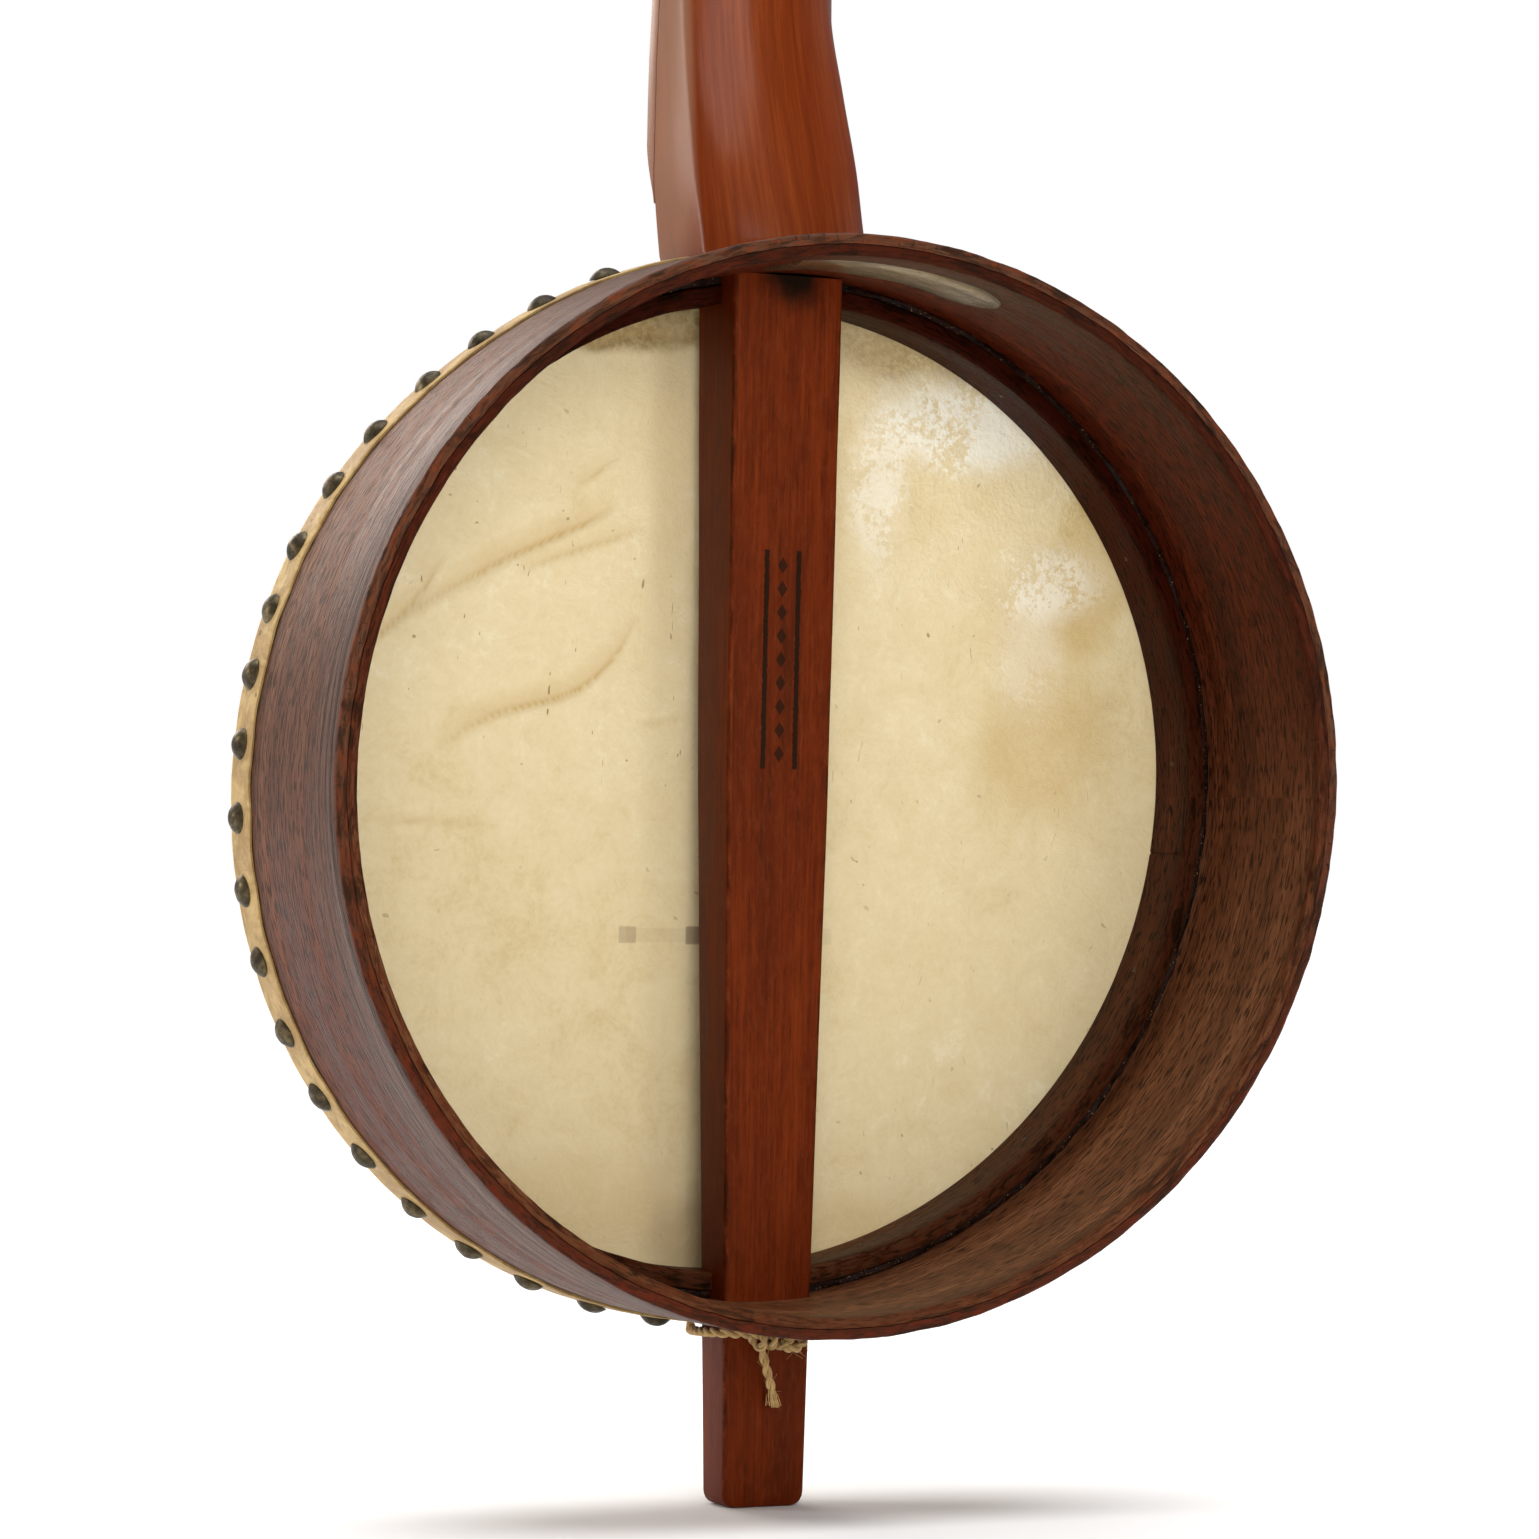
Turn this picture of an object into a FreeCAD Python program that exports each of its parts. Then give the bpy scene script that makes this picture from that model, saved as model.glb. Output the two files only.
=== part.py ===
"""Tack-head banjo: a bent wood pot with a tacked skin, a perch pole through it and a fretless neck.

Frame: the origin is on the pot's axis, in the plane of the pot's open back edge.
+Z runs up the neck, -Y is the playing side (the skin), +Y is the open back.
All sizes are in millimetres. The fifth (short) string is on the -X side.
"""
import FreeCAD, Part
import math
import os
import Sketcher

V = FreeCAD.Vector
X_AXIS = V(1, 0, 0)
Y_AXIS = V(0, 1, 0)
Z_AXIS = V(0, 0, 1)

DIMENSIONS = {
    # pot: two bent plies, a ring inside the head end, the skin over it
    "rim_radius": 160.0,
    "ply_outer": 3.2,
    "ply_inner": 3.3,
    "glue_gap": 0.1,
    "rim_depth": 81.2,
    "skin_thick": 0.8,
    "skin_lap": 14.4,
    "ring_inner": 145.5,
    "ring_outer": 151.0,
    "ring_width": 20.0,
    "ring_glue_width": 18.6,
    "tongue_thick": 1.0,
    "tongue_first_deg": 84.0,
    "tongue_last_deg": 111.0,
    "tongue_near": 12.0,
    "tongue_width": 28.0,
    # tacks and brads
    "tack_places": 47,
    "tack_first_deg": -80.6,
    "tack_head_radius": 4.75,
    "tack_head_high": 2.6,
    "tack_shank_radius": 0.8,
    "tack_shank_long": 6.4,
    "tack_line": 7.0,
    "tack_skip_neck_deg": 11.5,
    "tack_skip_tail_deg": 4.0,
    "tack_drift_deg": 2.6,
    "tack_drift_middle_deg": 40.0,
    "tack_drift_reach_deg": 33.0,
    "brad_places": 14,
    "brad_first_deg": 20.0,
    "brad_step_deg": 26.0,
    "brad_radius": 0.9,
    "brad_long": 10.0,
    "brad_proud": 0.4,
    # perch pole
    "pole_back": 53.0,
    "pole_top_width": 36.0,
    "pole_mid_width": 33.6,
    "pole_tail_width": 26.6,
    "pole_top_deep": 25.5,
    "pole_mid_deep": 21.5,
    "pole_tail_deep": 14.6,
    "pole_tail": 213.6,
    "pole_corner": 4.0,
    "tenon_width": 24.0,
    "tenon_deep": 17.0,
    "tenon_top": 190.0,
    "tenon_back": 56.0,
    "notch_past": 5.0,
    "fit_gap": 0.1,
    # neck
    "neck_front": 82.0,
    "neck_half": 30.6,
    "nut_half": 18.5,
    "nut_height": 627.0,
    "shoulder_half": 27.0,
    "shoulder_height": 455.0,
    "board_thick": 5.5,
    "board_end": 174.0,
    "board_scoop": 14.0,
    "head_tilt_deg": 12.0,
    "head_long": 152.0,
    "head_thick": 13.0,
    "overlay_thick": 2.0,
    "nut_thick": 5.0,
    "nut_tall": 8.0,
    "pip_radius": 1.6,
    "pip_proud": 3.2,
    "pip_sunk": 3.0,
    "pip_x": -22.0,
    "pip_height": 450.0,
    # pegs
    "peg_thin": 3.4,
    "peg_thick": 4.0,
    "peg_running_gap": 0.05,
    "peg_front": 15.0,
    "peg_collar_over": 2.4,
    "peg_collar_high": 2.6,
    "peg_waist_radius": 3.0,
    "peg_waist_long": 6.0,
    "peg_thumb_radius": 12.0,
    "peg_thumb_thick": 5.0,
    "peg_seat_gap": 0.3,
    "winding_radius": 4.2,
    "winding_long": 7.0,
    "winding_front": 11.5,
    "low_peg_x": 14.0,
    "low_peg_up": 45.0,
    "high_peg_x": 17.0,
    "high_peg_up": 90.0,
    "fifth_peg_height": 482.0,
    "fifth_peg_y": 77.0,
    "fifth_bore_deep": 16.0,
    "fifth_peg_thinner": 0.4,
    "fifth_post_long": 7.2,
    "fifth_winding_start": 0.6,
    "fifth_winding_long": 6.0,
    # bridge, tailpiece and strings
    "bridge_height": -46.0,
    "bridge_tall": 16.0,
    "bridge_half": 36.0,
    "bridge_thick": 4.0,
    "bridge_spacing": 11.5,
    "nut_spacing": 9.0,
    "string_radius": 0.38,
    "string_nut_y": 89.6,
    "tail_spacing": 5.5,
    "tailpiece_top": -124.0,
    "tailpiece_long": 30.0,
    "tailpiece_half": 18.0,
    "tailpiece_end_half": 12.5,
    "tailpiece_thick": 5.4,
    "tailpiece_front": 91.3,
    "tailpiece_tilt_deg": 5.0,
    "string_hole_down": 5.5,
    "string_hole_radius": 0.9,
    "string_knot_radius": 1.25,
    # twine
    "twine_radius": 1.45,
}

doc = FreeCAD.newDocument("tack_head_banjo")
dims = doc.addObject("Spreadsheet::Sheet", "dims")
for row, (alias, number) in enumerate(DIMENSIONS.items(), start=1):
    dims.set(f"A{row}", alias)
    dims.set(f"B{row}", str(number))
    dims.setAlias(f"B{row}", alias)
doc.recompute()

NODES = []


def size(expression):
    """The value of an expression written in the sheet's aliases."""
    return float(dims.evalExpression(str(expression).replace("dims.", "")))


def node(shape_object, label):
    """Gives a finished sub-part its label and lists it for export."""
    shape_object.Label = label
    NODES.append(shape_object)
    return shape_object


def origin_plane(body, role):
    return next(o for o in body.Origin.OriginFeatures if o.Role == role)


def outline(body, role, corners, offset=None):
    """A closed straight-sided sketch. Each corner is a pair of expressions."""
    sketch = body.newObject("Sketcher::SketchObject", "Outline")
    sketch.AttachmentSupport = [(origin_plane(body, role), "")]
    sketch.MapMode = "FlatFace"
    points = [V(size(u), size(v), 0) for u, v in corners]
    count = len(points)
    for i in range(count):
        sketch.addGeometry(Part.LineSegment(points[i], points[(i + 1) % count]))
    for i in range(count):
        sketch.addConstraint(Sketcher.Constraint("Coincident", i, 2, (i + 1) % count, 1))
    for i, (u, v) in enumerate(corners):
        across = sketch.addConstraint(Sketcher.Constraint("DistanceX", -1, 1, i, 1, points[i].x))
        sketch.setExpression(f"Constraints[{across}]", str(u))
        along = sketch.addConstraint(Sketcher.Constraint("DistanceY", -1, 1, i, 1, points[i].y))
        sketch.setExpression(f"Constraints[{along}]", str(v))
    if offset:
        sketch.setExpression(".AttachmentOffset.Base.z", offset)
    return sketch


def circles(body, role, radii):
    """A sketch of circles centred on the origin, one for each radius expression."""
    sketch = body.newObject("Sketcher::SketchObject", "Circles")
    sketch.AttachmentSupport = [(origin_plane(body, role), "")]
    sketch.MapMode = "FlatFace"
    for i, radius in enumerate(radii):
        sketch.addGeometry(Part.Circle(V(0, 0, 0), Z_AXIS, size(radius)))
        sketch.addConstraint(Sketcher.Constraint("Coincident", i, 3, -1, 1))
        k = sketch.addConstraint(Sketcher.Constraint("Radius", i, size(radius)))
        sketch.setExpression(f"Constraints[{k}]", radius)
    return sketch


def pad(body, sketch, length):
    feature = body.newObject("PartDesign::Pad", "Pad")
    feature.Profile = sketch
    feature.setExpression("Length", length)
    doc.recompute()


def pocket(body, sketch, length, reverse=False, midplane=False):
    """Cuts the sketch from the body, and checks that something was cut."""
    before = body.Shape.Volume
    feature = body.newObject("PartDesign::Pocket", "Pocket")
    feature.Profile = sketch
    feature.setExpression("Length", length)
    feature.Reversed = reverse
    feature.Midplane = midplane
    doc.recompute()
    if not body.Shape.Volume < before - 0.1:
        raise RuntimeError(f"pocket in {body.Label} cut nothing")


def new_body(name):
    body = doc.addObject("PartDesign::Body", name)
    doc.recompute()
    return body


def solid_feature(shape, label):
    feature = doc.addObject("Part::Feature", label)
    feature.Shape = shape
    return node(feature, label)


def cut(base, tools, label):
    """A Part::Cut of base by a compound of tools, kept as one sub-part."""
    tool = tools[0]
    if len(tools) > 1:
        tool = doc.addObject("Part::Compound", label + "_tools")
        tool.Links = tools
    result = doc.addObject("Part::Cut", label + "_cut")
    result.Base = base
    result.Tool = tool
    doc.recompute()
    return node(result, label)


# ---------------------------------------------------------------- pot


def hoop_body(name, radii, front, back="0"):
    """A plain hoop on the Y axis, from y = -back to y = -front."""
    body = new_body(name)
    sketch = circles(body, "XZ_Plane", radii)
    sketch.setExpression(".AttachmentOffset.Base.z", back)
    pad(body, sketch, f"({front}) - ({back})")
    return body


def pole_size(name, down):
    """The pole's "width" or "deep" at a distance below the pot's axis, as an expression."""
    middle, tail = f"dims.pole_mid_{name}", f"dims.pole_tail_{name}"
    return f"({middle} - ({middle} - {tail}) * ({down}) / dims.pole_tail)"


def mortise(body, top):
    """The opening that the perch pole, or its tenon, passes through at one end of the hoop."""
    inner_wall = "dims.rim_radius - dims.ply_outer - dims.glue_gap - dims.ply_inner"
    low, high = "dims.ring_inner", "dims.rim_radius + dims.notch_past"
    if top:
        half = "dims.tenon_width / 2"
        back = "dims.tenon_back"
        front = "dims.tenon_back + dims.tenon_deep"
        start = low
    else:
        half = pole_size("width", inner_wall) + " / 2"
        back = "dims.pole_back"
        front = f"dims.pole_back + {pole_size('deep', inner_wall)}"
        start = f"-({high})"
    corners = [
        (f"-({half}) - dims.fit_gap", f"-({back}) + dims.fit_gap"),
        (f"{half} + dims.fit_gap", f"-({back}) + dims.fit_gap"),
        (f"{half} + dims.fit_gap", f"-({front}) - dims.fit_gap"),
        (f"-({half}) - dims.fit_gap", f"-({front}) - dims.fit_gap"),
    ]
    sketch = outline(body, "XY_Plane", corners, start)
    pocket(body, sketch, f"({high}) - ({low})", reverse=True)


def rim_outer_ply():
    body = hoop_body("OuterPly", ["dims.rim_radius", "dims.rim_radius - dims.ply_outer"], "dims.rim_depth")
    mortise(body, True)
    mortise(body, False)
    return node(body, "rim_outer_ply")


def rim_inner_ply():
    outer = "dims.rim_radius - dims.ply_outer - dims.glue_gap"
    body = hoop_body("InnerPly", [outer, f"{outer} - dims.ply_inner"], "dims.rim_depth")
    mortise(body, True)
    mortise(body, False)
    return node(body, "rim_inner_ply")


def pole_box(name, width, front, low, high):
    """A box that clears the pole where it crosses a hoop, from the pole's back to a depth."""
    box = doc.addObject("Part::Box", name)
    box.setExpression("Length", width)
    box.setExpression("Width", f"{front} - dims.pole_back")
    box.setExpression("Height", f"{high} - ({low})")
    box.setExpression(".Placement.Base.x", f"-({width}) / 2")
    box.setExpression(".Placement.Base.y", f"-({front})")
    box.setExpression(".Placement.Base.z", low)
    return box


def ring_notches():
    """What the head ring and its glue lose round the pole, at the neck and at the tail."""
    low = "dims.ring_inner - dims.notch_past"
    high = "dims.rim_radius"
    top = pole_box("RingNotch", "dims.pole_top_width + 2 * dims.fit_gap",
                   "dims.pole_back + dims.pole_top_deep + dims.fit_gap", low, high)
    tail = pole_box("RingNotch", pole_size("width", "dims.ring_inner") + " + 2 * dims.fit_gap",
                    f"dims.pole_back + {pole_size('deep', 'dims.ring_inner')} + dims.fit_gap",
                    f"-({high})", f"-({low})")
    doc.recompute()
    return [top, tail]


def head_ring():
    ring = hoop_body("HeadRing", ["dims.ring_outer", "dims.ring_inner"],
                     "dims.rim_depth", "dims.rim_depth - dims.ring_width")
    return cut(ring, ring_notches(), "head_ring")


def ring_glue_line():
    wall = "dims.rim_radius - dims.ply_outer - dims.glue_gap - dims.ply_inner"
    ring = hoop_body("RingGlue", [wall, "dims.ring_outer"],
                     "dims.rim_depth", "dims.rim_depth - dims.ring_glue_width")
    return cut(ring, ring_notches(), "ring_glue_line")


def rim_lap_tongue():
    """The thin scarfed end of the inner ply, glued over itself inside the pot beside the pole."""
    wall = size("rim_radius - ply_outer - glue_gap - ply_inner")
    sweep = size("tongue_last_deg - tongue_first_deg")
    outer = Part.makeCylinder(wall, size("tongue_width"), V(0, 0, 0), Z_AXIS, sweep)
    inner = Part.makeCylinder(wall - size("tongue_thick"), size("tongue_width"), V(0, 0, 0), Z_AXIS, sweep)
    strip = outer.cut(inner)
    strip.rotate(V(0, 0, 0), Z_AXIS, size("tongue_first_deg"))
    strip.rotate(V(0, 0, 0), X_AXIS, 90)
    strip.translate(V(0, -size("tongue_near"), 0))
    return solid_feature(strip, "rim_lap_tongue")


def skin_head():
    """The skin: a flat disc on the head end, lapped back down the outside of the hoop."""
    body = new_body("Skin")
    outer = "dims.rim_radius + dims.skin_thick"
    front = "-dims.rim_depth - dims.skin_thick"
    corners = [
        ("0", front),
        (f"{outer} - 0.6", front),
        (outer, f"{front} + 0.6"),
        (outer, "-dims.rim_depth + dims.skin_lap"),
        ("dims.rim_radius", "-dims.rim_depth + dims.skin_lap"),
        ("dims.rim_radius", "-dims.rim_depth"),
        ("0", "-dims.rim_depth"),
    ]
    sketch = outline(body, "XY_Plane", corners)
    turn = body.newObject("PartDesign::Revolution", "Revolution")
    turn.Profile = sketch
    turn.ReferenceAxis = (sketch, ["V_Axis"])
    turn.Angle = 360
    doc.recompute()
    return cut(body, lap_notches(), "skin_head")


def lap_notches():
    """What the skin's lap loses round the pole's tenon and round its stub."""
    low, high = "dims.rim_radius - 1", "dims.rim_radius + dims.notch_past"
    top = pole_box("LapNotch", "dims.tenon_width + 4 * dims.fit_gap",
                   "dims.tenon_back + dims.tenon_deep + 2 * dims.fit_gap", low, high)
    tail = pole_box("LapNotch", pole_size("width", "dims.rim_radius") + " + 4 * dims.fit_gap",
                    f"dims.pole_back + {pole_size('deep', 'dims.rim_radius')} + 2 * dims.fit_gap",
                    f"-({high})", f"-({low})")
    doc.recompute()
    return [top, tail]


def around_hoop(shape, radius, depth, degrees):
    """Stands a +Z fastener outward on the hoop at an angle from +X towards +Z."""
    placed = shape.copy()
    placed.rotate(V(0, 0, 0), Y_AXIS, 90 - degrees)
    angle = math.radians(degrees)
    placed.translate(V(radius * math.cos(angle), -depth, radius * math.sin(angle)))
    return placed


def tack():
    """A domed head on a short pointed shank; the head's underside is at z = 0."""
    head = size("tack_head_radius")
    high = size("tack_head_high")
    shank = size("tack_shank_radius")
    long = size("tack_shank_long")
    dome_radius = (head ** 2 + high ** 2) / (2 * high)
    rim_latitude = math.degrees(math.asin((dome_radius - high) / dome_radius))
    dome = Part.makeSphere(dome_radius, V(0, 0, high - dome_radius), Z_AXIS, rim_latitude, 90, 360)
    stem = Part.makeCylinder(shank, long - 2, V(0, 0, 2 - long), Z_AXIS)
    point = Part.makeCone(shank, 0.2, 2, V(0, 0, 2 - long), V(0, 0, -1))
    return dome.fuse([stem, point]).removeSplitter()


def tack_angles():
    """Places round the hoop, even but for a drift on one side, and left out at the neck and tail cord."""
    count = int(size("tack_places"))
    angles = []
    for k in range(count):
        angle = size("tack_first_deg") + 360.0 * k / count
        past_neck = abs((angle - 90 + 180) % 360 - 180)
        past_tail = abs((angle + 90 + 180) % 360 - 180)
        if past_neck > size("tack_skip_neck_deg") and past_tail > size("tack_skip_tail_deg"):
            off = (angle - size("tack_drift_middle_deg")) / size("tack_drift_reach_deg")
            angles.append(angle - size("tack_drift_deg") * math.exp(-off ** 2))
    return angles


def head_tacks():
    depth = size("rim_depth + skin_thick - tack_line")
    seat = size("rim_radius + skin_thick") + 0.05
    solids = [around_hoop(tack(), seat, depth, angle) for angle in tack_angles()]
    return solid_feature(Part.makeCompound(solids), "head_tacks")


def ring_brads():
    """Small round brads that hold the ring to the plies while the glue sets."""
    depth = size("rim_depth - ring_width / 2")
    long = size("brad_long")
    brad = Part.makeCylinder(size("brad_radius"), long)
    count = int(size("brad_places"))
    solids = []
    for k in range(count):
        angle = size("brad_first_deg") + size("brad_step_deg") * k
        solids.append(around_hoop(brad, size("ring_inner - brad_proud"), depth, angle))
    return solid_feature(Part.makeCompound(solids), "ring_brads")


# ---------------------------------------------------------------- perch pole


def perch_pole():
    """The square bar from the neck, through the pot, to the stub that carries the tail cord."""
    body = new_body("PerchPole")
    top = "dims.rim_radius - dims.ply_outer - dims.glue_gap - dims.ply_inner - 1.6"
    tail = "-dims.pole_tail"
    corner = "dims.pole_corner"
    corners = [
        ("dims.pole_top_width / 2", top),
        ("dims.pole_mid_width / 2", "0"),
        ("dims.pole_tail_width / 2", f"{tail} + {corner}"),
        (f"dims.pole_tail_width / 2 - {corner}", tail),
        (f"-dims.pole_tail_width / 2 + {corner}", tail),
        ("-dims.pole_tail_width / 2", f"{tail} + {corner}"),
        ("-dims.pole_mid_width / 2", "0"),
        ("-dims.pole_top_width / 2", top),
    ]
    pad(body, outline(body, "XZ_Plane", corners, "dims.pole_back"), "dims.pole_top_deep")
    wedge = [
        ("-dims.pole_back - dims.pole_top_deep - 5", top + " + 5"),
        ("-dims.pole_back - dims.pole_top_deep", top),
        ("-dims.pole_back - dims.pole_mid_deep", "0"),
        ("-dims.pole_back - dims.pole_tail_deep", tail),
        ("-dims.pole_back - dims.pole_tail_deep", f"{tail} - 5"),
        ("-dims.pole_back - dims.pole_top_deep - 5", f"{tail} - 5"),
    ]
    pocket(body, outline(body, "YZ_Plane", wedge), "dims.pole_top_width + 4", midplane=True)
    tenon = [
        ("-dims.tenon_width / 2", "-dims.tenon_back"),
        ("dims.tenon_width / 2", "-dims.tenon_back"),
        ("dims.tenon_width / 2", "-dims.tenon_back - dims.tenon_deep"),
        ("-dims.tenon_width / 2", "-dims.tenon_back - dims.tenon_deep"),
    ]
    start = "dims.rim_radius - 15"
    pad(body, outline(body, "XY_Plane", tenon, start), f"dims.tenon_top - ({start})")
    return node(body, "perch_pole")


# ---------------------------------------------------------------- neck


def neck_half(height):
    """Half the neck's width on the straight (treble) edge at a height above the pot's axis."""
    low, high = size("board_end"), size("nut_height")
    share = (height - low) / (high - low)
    return size("neck_half") + (size("nut_half") - size("neck_half")) * max(0.0, share)


def neck_section(height, ridge_deep, back_deep, ridge_in):
    """A closed section: flat front, drafted sides, and an arched back between two ridges."""
    front = -size("neck_front")
    treble = neck_half(height)
    low, shoulder = size("board_end"), size("shoulder_height")
    share = min(1.0, max(0.0, (height - low) / (shoulder - low)))
    bass = size("neck_half") + (size("shoulder_half") - size("neck_half")) * share
    right = V(treble, front, height)
    left = V(-bass, front, height)
    right_ridge = V(treble - ridge_in, front + ridge_deep, height)
    left_ridge = V(-bass + ridge_in, front + ridge_deep, height)
    crown = V((treble - bass) / 2, front + back_deep, height)
    edges = [
        Part.makeLine(left, right),
        Part.makeLine(right, right_ridge),
        Part.Arc(right_ridge, crown, left_ridge).toShape(),
        Part.makeLine(left_ridge, left),
    ]
    return Part.Wire(edges)


# height, depth of the side ridges, depth of the back's crown, draft of the sides
NECK_SECTIONS = [
    (152.0, 24.5, 38.0, 4.2),
    (166.0, 21.0, 34.5, 4.2),
    (186.0, 15.5, 28.5, 4.2),
    (210.0, 10.5, 23.5, 4.0),
    (240.0, 8.5, 20.0, 3.6),
    (320.0, 7.5, 18.0, 3.0),
    (455.0, 7.5, 16.5, 2.4),
    (600.0, 7.0, 14.5, 2.0),
    (632.0, 7.0, 14.0, 2.0),
]


def bass_relief():
    """What is cut from the neck above the fifth peg's shoulder, where four strings remain."""
    nut = -size("nut_half")
    shoulder = size("shoulder_height")
    points = [
        V(-60, 0, shoulder),
        V(-size("shoulder_half"), 0, shoulder),
        V(nut - 4.6, 0, shoulder + 2.5),
        V(nut - 2.0, 0, shoulder + 9),
        V(nut, 0, size("nut_height")),
        V(nut, 0, size("nut_height") + 20),
        V(-60, 0, size("nut_height") + 20),
    ]
    face = Part.Face(Part.makePolygon(points + [points[0]]))
    prism = face.extrude(V(0, 120, 0))
    prism.translate(V(0, -110, 0))
    return prism


def peghead_outline(front, back, start):
    """The peghead's outline as a plate between two depths, upright, before it is tilted."""
    half = size("nut_half")
    long = size("head_long")
    waist, broad = half + 2, half + 10
    points = [V(half, 0, start), V(half, 0, 6), V(waist, 0, 22), V(broad, 0, 48), V(broad + 1.5, 0, long - 30)]
    right = [Part.makeLine(points[0], points[1])]
    right.append(Part.Arc(points[1], V(half + 0.5, 0, 14), points[2]).toShape())
    right.append(Part.Arc(points[2], V(waist + 4.6, 0, 34), points[3]).toShape())
    right.append(Part.makeLine(points[3], points[4]))
    crest = Part.Arc(points[4], V(0, 0, long), V(-points[4].x, 0, points[4].z)).toShape()
    left = [edge.mirror(V(0, 0, 0), X_AXIS) for edge in right]
    base = Part.makeLine(V(half, 0, start), V(-half, 0, start))
    wire = Part.Wire(Part.__sortEdges__(right + [crest] + left + [base]))
    plate = Part.Face(wire).extrude(V(0, back - front, 0))
    plate.translate(V(0, front, 0))
    return plate


def on_peghead(shape):
    """Moves a shape from the peghead's own upright frame to its tilted place at the nut."""
    shape.rotate(V(0, 0, 0), X_AXIS, -size("head_tilt_deg"))
    shape.translate(V(0, -size("neck_front"), size("nut_height")))
    return shape


def peg_places():
    """Peg number: x and height on the peghead. The first string is on the +X side."""
    low = (size("low_peg_x"), size("low_peg_up"))
    high = (size("high_peg_x"), size("high_peg_up"))
    return {1: low, 2: high, 3: (-high[0], high[1]), 4: (-low[0], low[1])}


def peg_bores():
    """Tapered holes through the peghead and its overlay, a running gap wider than the pegs."""
    gap = size("peg_running_gap")
    thin, thick = size("peg_thin") + gap, size("peg_thick") + gap
    front, back = size("overlay_thick"), size("head_thick")
    bores = []
    for x, up in peg_places().values():
        cone = Part.makeCone(thin, thick, front + back, V(x, -front, up), Y_AXIS)
        lead = Part.makeCylinder(thin, 3, V(x, -front - 3, up), Y_AXIS)
        bores.append(on_peghead(cone.fuse(lead)))
    return bores


def fifth_bore():
    """The blind bore for the fifth peg, a running gap wider than its shaft."""
    thin, thick = size("peg_thin - fifth_peg_thinner"), size("peg_thin")
    deep = size("fifth_bore_deep")
    slope = (thick - thin) / deep
    gap = size("peg_running_gap")
    low, high = deep + 0.4, 6.0
    cone = Part.makeCone(thin - 0.4 * slope + gap, thick + high * slope + gap, low + high,
                         V(0, 0, -low), Z_AXIS)
    return to_neck_side(cone)


def neck():
    blank = Part.makeLoft([neck_section(*row) for row in NECK_SECTIONS], True, True)
    blank = blank.cut(bass_relief())
    stub = peghead_outline(0.0, size("head_thick"), -5.0)
    blank = blank.fuse(on_peghead(stub))
    trim = Part.makeBox(100, 40, 60, V(-50, -size("neck_front") - 40, size("nut_height") - 30))
    trim = trim.cut(on_peghead(Part.makeBox(120, 60, 60, V(-60, -60, 0))))
    blank = blank.cut(trim)
    hoop = Part.makeCylinder(size("rim_radius"), 200, V(0, 60, 0), V(0, -1, 0))
    lap = Part.makeCylinder(size("rim_radius + skin_thick + 0.05"), 80,
                            V(0, -size("rim_depth - skin_lap") + 0.05, 0), V(0, -1, 0))
    gap = size("fit_gap")
    wide = size("tenon_width") + 2 * gap
    deep = size("tenon_deep") + 2 * gap
    socket = Part.makeBox(wide, deep, size("tenon_top") + 1 - 100,
                          V(-wide / 2, -size("tenon_back") + gap - deep, 100))
    for tool in [hoop, lap, socket, fifth_bore()] + peg_bores():
        blank = blank.cut(tool)
    return solid_feature(blank.removeSplitter(), "neck")


def fingerboard():
    """The fretless board: straight edges, an ogee down to the neck at its pot end."""
    body = new_body("Fingerboard")
    end = "dims.board_end"
    nut = "dims.nut_height"
    shoulder = "dims.shoulder_height"
    bass = "-dims.nut_half"
    corners = [
        ("dims.neck_half", end),
        ("dims.nut_half", nut),
        (bass, nut),
        (f"{bass} - 2", f"{shoulder} + 9"),
        (f"{bass} - 4.6", f"{shoulder} + 2.5"),
        ("-dims.shoulder_half", shoulder),
        ("-dims.neck_half", end),
    ]
    pad(body, outline(body, "XZ_Plane", corners, "dims.neck_front + 0.02"), "dims.board_thick - 0.02")
    surface = "-dims.neck_front - dims.board_thick"
    ogee = [
        (f"{surface} - 2", f"{end} - 2"),
        ("-dims.neck_front - 0.6", f"{end} - 2"),
        ("-dims.neck_front - 0.6", end),
        ("-dims.neck_front - 1.6", f"{end} + dims.board_scoop * 0.34"),
        ("-dims.neck_front - 3.9", f"{end} + dims.board_scoop * 0.62"),
        (surface, f"{end} + dims.board_scoop"),
        (f"{surface} - 2", f"{end} + dims.board_scoop + 6"),
    ]
    pocket(body, outline(body, "YZ_Plane", ogee), "2 * dims.neck_half + 10", midplane=True)
    drill = doc.addObject("Part::Cylinder", "PipHole")
    drill.setExpression("Radius", "dims.pip_radius")
    drill.setExpression("Height", "dims.pip_sunk + 1")
    drill.Placement = FreeCAD.Placement(V(0, 0, 0), FreeCAD.Rotation(X_AXIS, 90))
    drill.setExpression(".Placement.Base.x", "dims.pip_x")
    drill.setExpression(".Placement.Base.y", "-dims.neck_front - dims.board_thick + dims.pip_sunk")
    drill.setExpression(".Placement.Base.z", "dims.pip_height")
    doc.recompute()
    return cut(body, [drill], "fingerboard")


def string_x(number, place):
    """The x of string 1 to 5 at the bridge, the nut or the tailpiece."""
    if place == "bridge":
        return (3 - number) * size("bridge_spacing")
    if place == "tail":
        return (3 - number) * size("tail_spacing")
    return (2.5 - number) * size("nut_spacing")


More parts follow.
